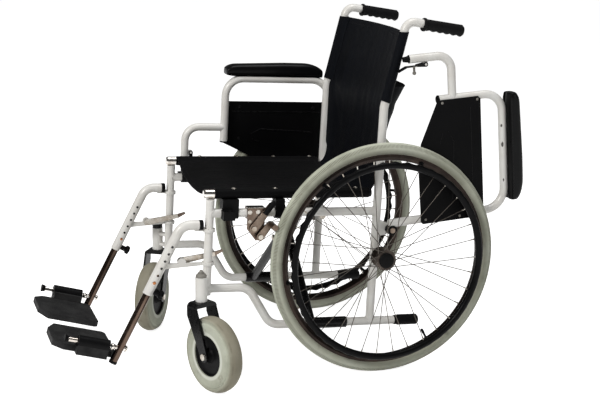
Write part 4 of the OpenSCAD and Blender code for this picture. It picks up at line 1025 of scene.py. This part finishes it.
def pad_section():
    """Outline across the pad as (x from its middle, height from its base), with the tube's groove first."""
    pts = []
    for k in range(GROOVE_STEPS + 1):
        a = radians(152 - k * (124 / GROOVE_STEPS))
        pts.append((ARM_X - PAD_X + GROOVE_R * cos(a), max(0, 3 - TUBE + GROOVE_R * sin(a))))
    for k in range(PAD_ROUND):
        a = -pi / 2 + 0.62 + (2 * pi - 1.24) * (k / (PAD_ROUND - 1))
        z = signed_power(sin(a), 0.72)
        z = PAD_H * 0.4 + z * PAD_H * (0.6 if z > 0 else 0.4)
        pts.append((signed_power(cos(a), 0.62) * PAD_W / 2, z))
    return pts


def pad_ring(side, s, f):
    """Section of the pad at f forward of the pivot."""
    to_rear, to_front = f - PAD_0, PAD_0 + PAD_LEN - f
    nose = sqrt(max(0, 1 - (1 - min(1, min(to_rear, to_front) / PAD_NOSE)) ** 2))
    rear, front = ease(to_rear / PAD_REAR, 2.4), ease(to_front / PAD_FRONT, 2.2)
    slope = 0.84 + 0.16 * min(1, to_front / PAD_SLOPE)
    high = (0.58 + 0.42 * rear) * (0.76 + 0.24 * front) * slope * (0.9 + 0.1 * nose)
    wide = (0.8 + 0.2 * nose) * (0.94 + 0.06 * rear)
    lift = PAD_LIFT * max(0, 1 - to_front / PAD_LIFT_LEN) ** 1.5
    return [arm(side, s * (PAD_X + x * wide), f, PAD_LOW + lift + z * (high - lift / PAD_H))
            for x, z in pad_section()]


# sections lie closer together towards the ends
stations = [PAD_0 + PAD_LEN * (0.5 - 0.5 * cos(pi * k / PAD_STEPS)) for k in range(PAD_STEPS + 1)]
for side, s in SIDES:
    rows = [pad_ring(side, s, f) for f in stations]
    m = Build()
    m.tube(rows)
    pad = m.make("arm_pad_form_" + side, vinyl, side + "_arm", crease=70)
    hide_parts("arm_pad_" + side)
    m = Build()
    for j in PIPING_AT:
        m.sweep([r[GROOVE_STEPS + 1 + j] for r in rows[2:-2]], 0.9, 6)
    m.make("arm_pad_piping_" + side, vinyl, side + "_arm")

# wheels: handrims with finger waves on six standoffs, spoke nipples and valves
WAVES, WAVE_DEEP, WAVE_AT = 48, 4.3, radians(140)
RING_STEPS, RING_ROUND = 384, 20
STANDOFF_FROM, VALVE_AT = radians(18) + pi / 2, radians(-122)
NIPPLE = [(2.3, 0), (2.3, 2), (1.75, 2.8), (1.75, 11), (1.2, 12.5)]
VALVE = [(4.2, 0), (4.2, 2.4), (3, 3), (3, 16), (3.9, 16.5), (3.9, 27), (3.2, 28), (1.5, 28.6)]


def handrim(side, s):
    """Ring with finger waves on its inner side, and its standoffs on the rim."""
    rows = []
    for a in turns(RING_STEPS):
        wave = 0.5 - 0.5 * cos(WAVES * a)
        line = []
        for p in turns(RING_ROUND):
            r = HANDRIM_R + 0.3 - WAVE_DEEP * wave * max(0, cos(p - WAVE_AT)) ** 0.7
            line.append(wheel(s, HANDRIM_OFF + r * cos(p), HANDRIM + r * sin(p), a))
        rows.append(line)
    m = Build()
    m.grid(rows, close_i=True, close_j=True)
    for t in turns(STANDOFFS):
        a = t + STANDOFF_FROM
        p, q = wheel(s, 9.6, RIM_OUT - 13, a), wheel(s, HANDRIM_OFF - HANDRIM_R + 2, HANDRIM, a)
        d = (q - p).length * 1000
        m.lathe(p, q - p, [(6.5, 0), (6.5, 2), (4, 3.2), (4, d - 3.5), (5.6, d - 1.2), (5.6, d)], 16)
    ring = m.make("handrim_waves_" + side, ring_black, side + "_wheel", crease=50)
    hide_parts("handrim_" + side)


def nipples(side, s):
    """A nipple at the rim end of each spoke: spokes go to both flanges in turn and cross in pairs."""
    m = Build()
    for i in range(SPOKES):
        flange = 1 if i % 2 == 0 else -1
        lead = 1 if i % 4 < 2 else -1
        b = -i * 2 * pi / SPOKES
        at_hub, at_rim = (flange * (off + split * lead) for off, split in (HUB_SPOKE, RIM_SPOKE))
        p = wheel(s, at_hub, SPOKE_CIRCLE, pi + lead * SPOKE_SWEEP + b)
        q = wheel(s, at_rim, RIM_IN + 1.6, pi + b)
        d = (p - q).normalized()
        m.lathe(q + d * 0.0012, d, NIPPLE, 8)
    m.make("spoke_nipples_" + side, zinc, side + "_wheel")


for side, s in SIDES:
    handrim(side, s)
    nipples(side, s)
    foot = wheel(s, 0, RIM_IN + 0.5, VALVE_AT)
    turned("valve_" + side, gloss_black, side + "_wheel", None, wheel(s, 0, 0, 0) - foot, VALVE, 14, foot)


# small fittings
OUTER_SCREWS = ((17.5, 92), (15, 188), (56, 195), (318, 150), (318, 248))
INNER_SCREWS = ((60, 96), (60, 240), (278, 150), (278, 240), (150, 92))
RIDGES = (((60, 170), (214, 178), (244, 164)), ((214, 140), (238, 148)), ((40, 228), (300, 228)))
KNOB = ((5.5, 26.4), (9.4, 27.4), (11, 29), (11, 35), (9.4, 37), (4, 38))
KNOB_LOBES, KNOB_STEPS = 6, 48
CONE_NUT = [(8, 10.4), (8, 12), (5.2, 12.4), (4.6, 16.5), (2.2, 18.5)]
DOME = [(14.3, 0.2), (14.5, 9), (13.4, 14), (10.6, 18.4), (6, 21), (1.5, 21.8)]
LOCK_X, LOCK_BOLTS = 242.9, ((351, 117, 5.2), (330, 118, 5.2), (350, 93, 4.2))
STRIP_U, STRIP = (311, 357), ((-14, 14), (14, 14), (14, 15.4), (-14, 15.4))
BEAD_ROUND, BEAD_R, BEAD_STEPS = 11.3, 1.5, 40


def arm_fittings(side, s, out):
    """Screws and moulded ridges of the arm panel, and the plug in the lower end of the front upright."""
    body = side + "_arm"
    turned("panel_screws_" + side, cap_grey, body, "steel", out,
           [(3.5, -0.1), (3.5, 0.3), (2.8, 0.8), (1.2, 1), (0.9, 0.7)], 18,
           *(arm(side, s * PANEL_OUT, f, h) for f, h in OUTER_SCREWS))
    m = Build()
    for f, h in INNER_SCREWS:
        m.lathe(arm(side, s * PANEL_IN, f, h), -out,
                [(5.2, -0.1), (5.2, 0.5), (4.2, 0.7), (4, 1.5), (2.8, 2.1), (1.1, 2.3), (0.9, 1.8)], 18)
    for line in RIDGES:
        m.sweep([arm(side, s * (PANEL_OUT + 0.1), f, h) for f, h in line], 0.7, 8)
        m.sweep([arm(side, s * (PANEL_IN - 0.1), f, h) for f, h in line], 1.6, 8)
    m.make("panel_ridges_" + side, gloss_black, body)
    turned("upright_plug_" + side, plastic, body, "black_plastic", arm_way(side, 0, -1),
           [(11.4, 0), (11.4, 2.2), (9.5, 4.2), (4, 5)], 24,
           arm(side, s * ARM_X, ARM_FRONT, ARM_STEP - 39))


def clamp_knob(side, s):
    """Lobed knob of the leg clamp."""
    at, back = clamp_axis(s)
    x = Vector((1, 0, 0))
    y = back.cross(x)
    rows = []
    for r, h in KNOB:
        line = []
        for t in turns(KNOB_STEPS):
            lobed = r * (1 + 0.12 * cos(KNOB_LOBES * t))
            line.append(at + (back * h + (x * cos(t) + y * sin(t)) * lobed) / 1000)
        rows.append(line)
    m = Build()
    m.tube(rows)
    m.make("clamp_knob_" + side, plastic, side + "_hanger")


def footrest_fittings(side, s, out):
    """Bolt of the hanger, black discs in its inner holes as painted shade, clamp knob, plug in the hanger's
    rear end and cap on the leg.
    """
    body = side + "_hanger"
    bolt_at, *holes_at = HOLES_AT
    outer, inner = s * (FRAME_X + HANGER_R), s * (FRAME_X - HANGER_R)
    m = Build()
    m.lathe(hanger(outer, bolt_at), out, [(4.6, 0), (4.6, 1.6), (3.4, 2.4), (1.2, 2.6)], 6)
    m.lathe(hanger(inner, bolt_at), -out, [(3.6, 0), (3.6, 1.2), (2.4, 1.8), (1, 2)], 12)
    m.make("hanger_bolt_" + side, copper, body)
    # black discs on the inner side stand in for the shade inside the holes: painted shade
    turned("hole_shade_discs_" + side, plastic, body, "black_plastic", -out,
           [(3.1, 0), (3.1, 0.7), (2.6, 0.85)], 16, *(hanger(inner, d) for d in holes_at))
    clamp_knob(side, s)
    turned("hanger_plug_" + side, plastic, body, "black_plastic", way(-1, 0),
           [(12.3, 0), (13, 0.5), (13, 9.6), (12, 10.6), (3, 10.8)], 28,
           L(s * FRAME_X, FRONT_U + 27, HANGER_W))
    turned("leg_cap_" + side, plastic, side + "_foot_leg", "black_plastic", hanger(0, 1) - hanger(0, 0),
           [(10.1, 0), (10.7, 0.6), (10.7, 6), (10, 7.4), (6, 8.2)], 28, hanger(s * FRAME_X, HINGE_AT + 36))


def caster_cap(side, s):
    """Cone nut on the left caster barrel and a dome on the right one."""
    at = Vector((s * BARREL_X, BARREL_Y, BARREL_TOP + 0.5)) / 1000
    mat, profile, n = (cap_grey, CONE_NUT, 20) if side == "left" else (gloss_black, DOME, 28)
    turned("caster_cap_" + side, mat, side + "_caster_fork", "steel", (0, 0, 1), profile, n, at)


def lock_fittings(side, s, out):
    """Flat bolts of the wheel lock, below its lever, and the cover strip on top of its clamp."""
    m = Build()
    for u, w, r in LOCK_BOLTS:
        m.lathe(L(s * LOCK_X, u, w), out, [(r + 1.2, 0), (r + 1.2, 0.22), (r, 0.28), (r, 0.44)], 6)
    m.make("lock_bolts_" + side, zinc, side + "_frame")
    m = Build()
    m.tube([[L(s * (FRAME_X + x), u, UPPER_W + h) for x, h in STRIP] for u in STRIP_U])
    m.make("lock_strip_" + side, zinc, side + "_frame")


def weld(m, s, place):
    """Bead round the end of a tube on one of its own size; place turns (off that one, across) to (u, w)."""
    bead = []
    for a in turns(BEAD_STEPS):
        x, y = BEAD_ROUND * cos(a), BEAD_ROUND * sin(a)
        off = sqrt(max(0, TUBE ** 2 - min(TUBE, abs(x)) ** 2)) + 0.5
        bead.append(L(s * (FRAME_X + x), *place(off, y)))
    m.sweep(bead, BEAD_R, 6, closed=True)


def weld_beads(side, s):
    """Beads at both ends of the seat side tube, on the stub and at the foot of the back post."""
    m = Build()
    weld(m, s, lambda off, y: (BACK_U + off, UPPER_W + y))
    weld(m, s, lambda off, y: (FRONT_U - off, UPPER_W + y))
    weld(m, s, lambda off, y: (FRONT_U - off, STUB_W + y))
    weld(m, s, lambda off, y: (BACK_U + y, LOWER_W + off))
    m.make("weld_beads_" + side, paint, side + "_frame")


for side, s in SIDES:
    out = Vector((s, 0, 0))
    arm_fittings(side, s, out)
    footrest_fittings(side, s, out)
    caster_cap(side, s)
    lock_fittings(side, s, out)
    weld_beads(side, s)
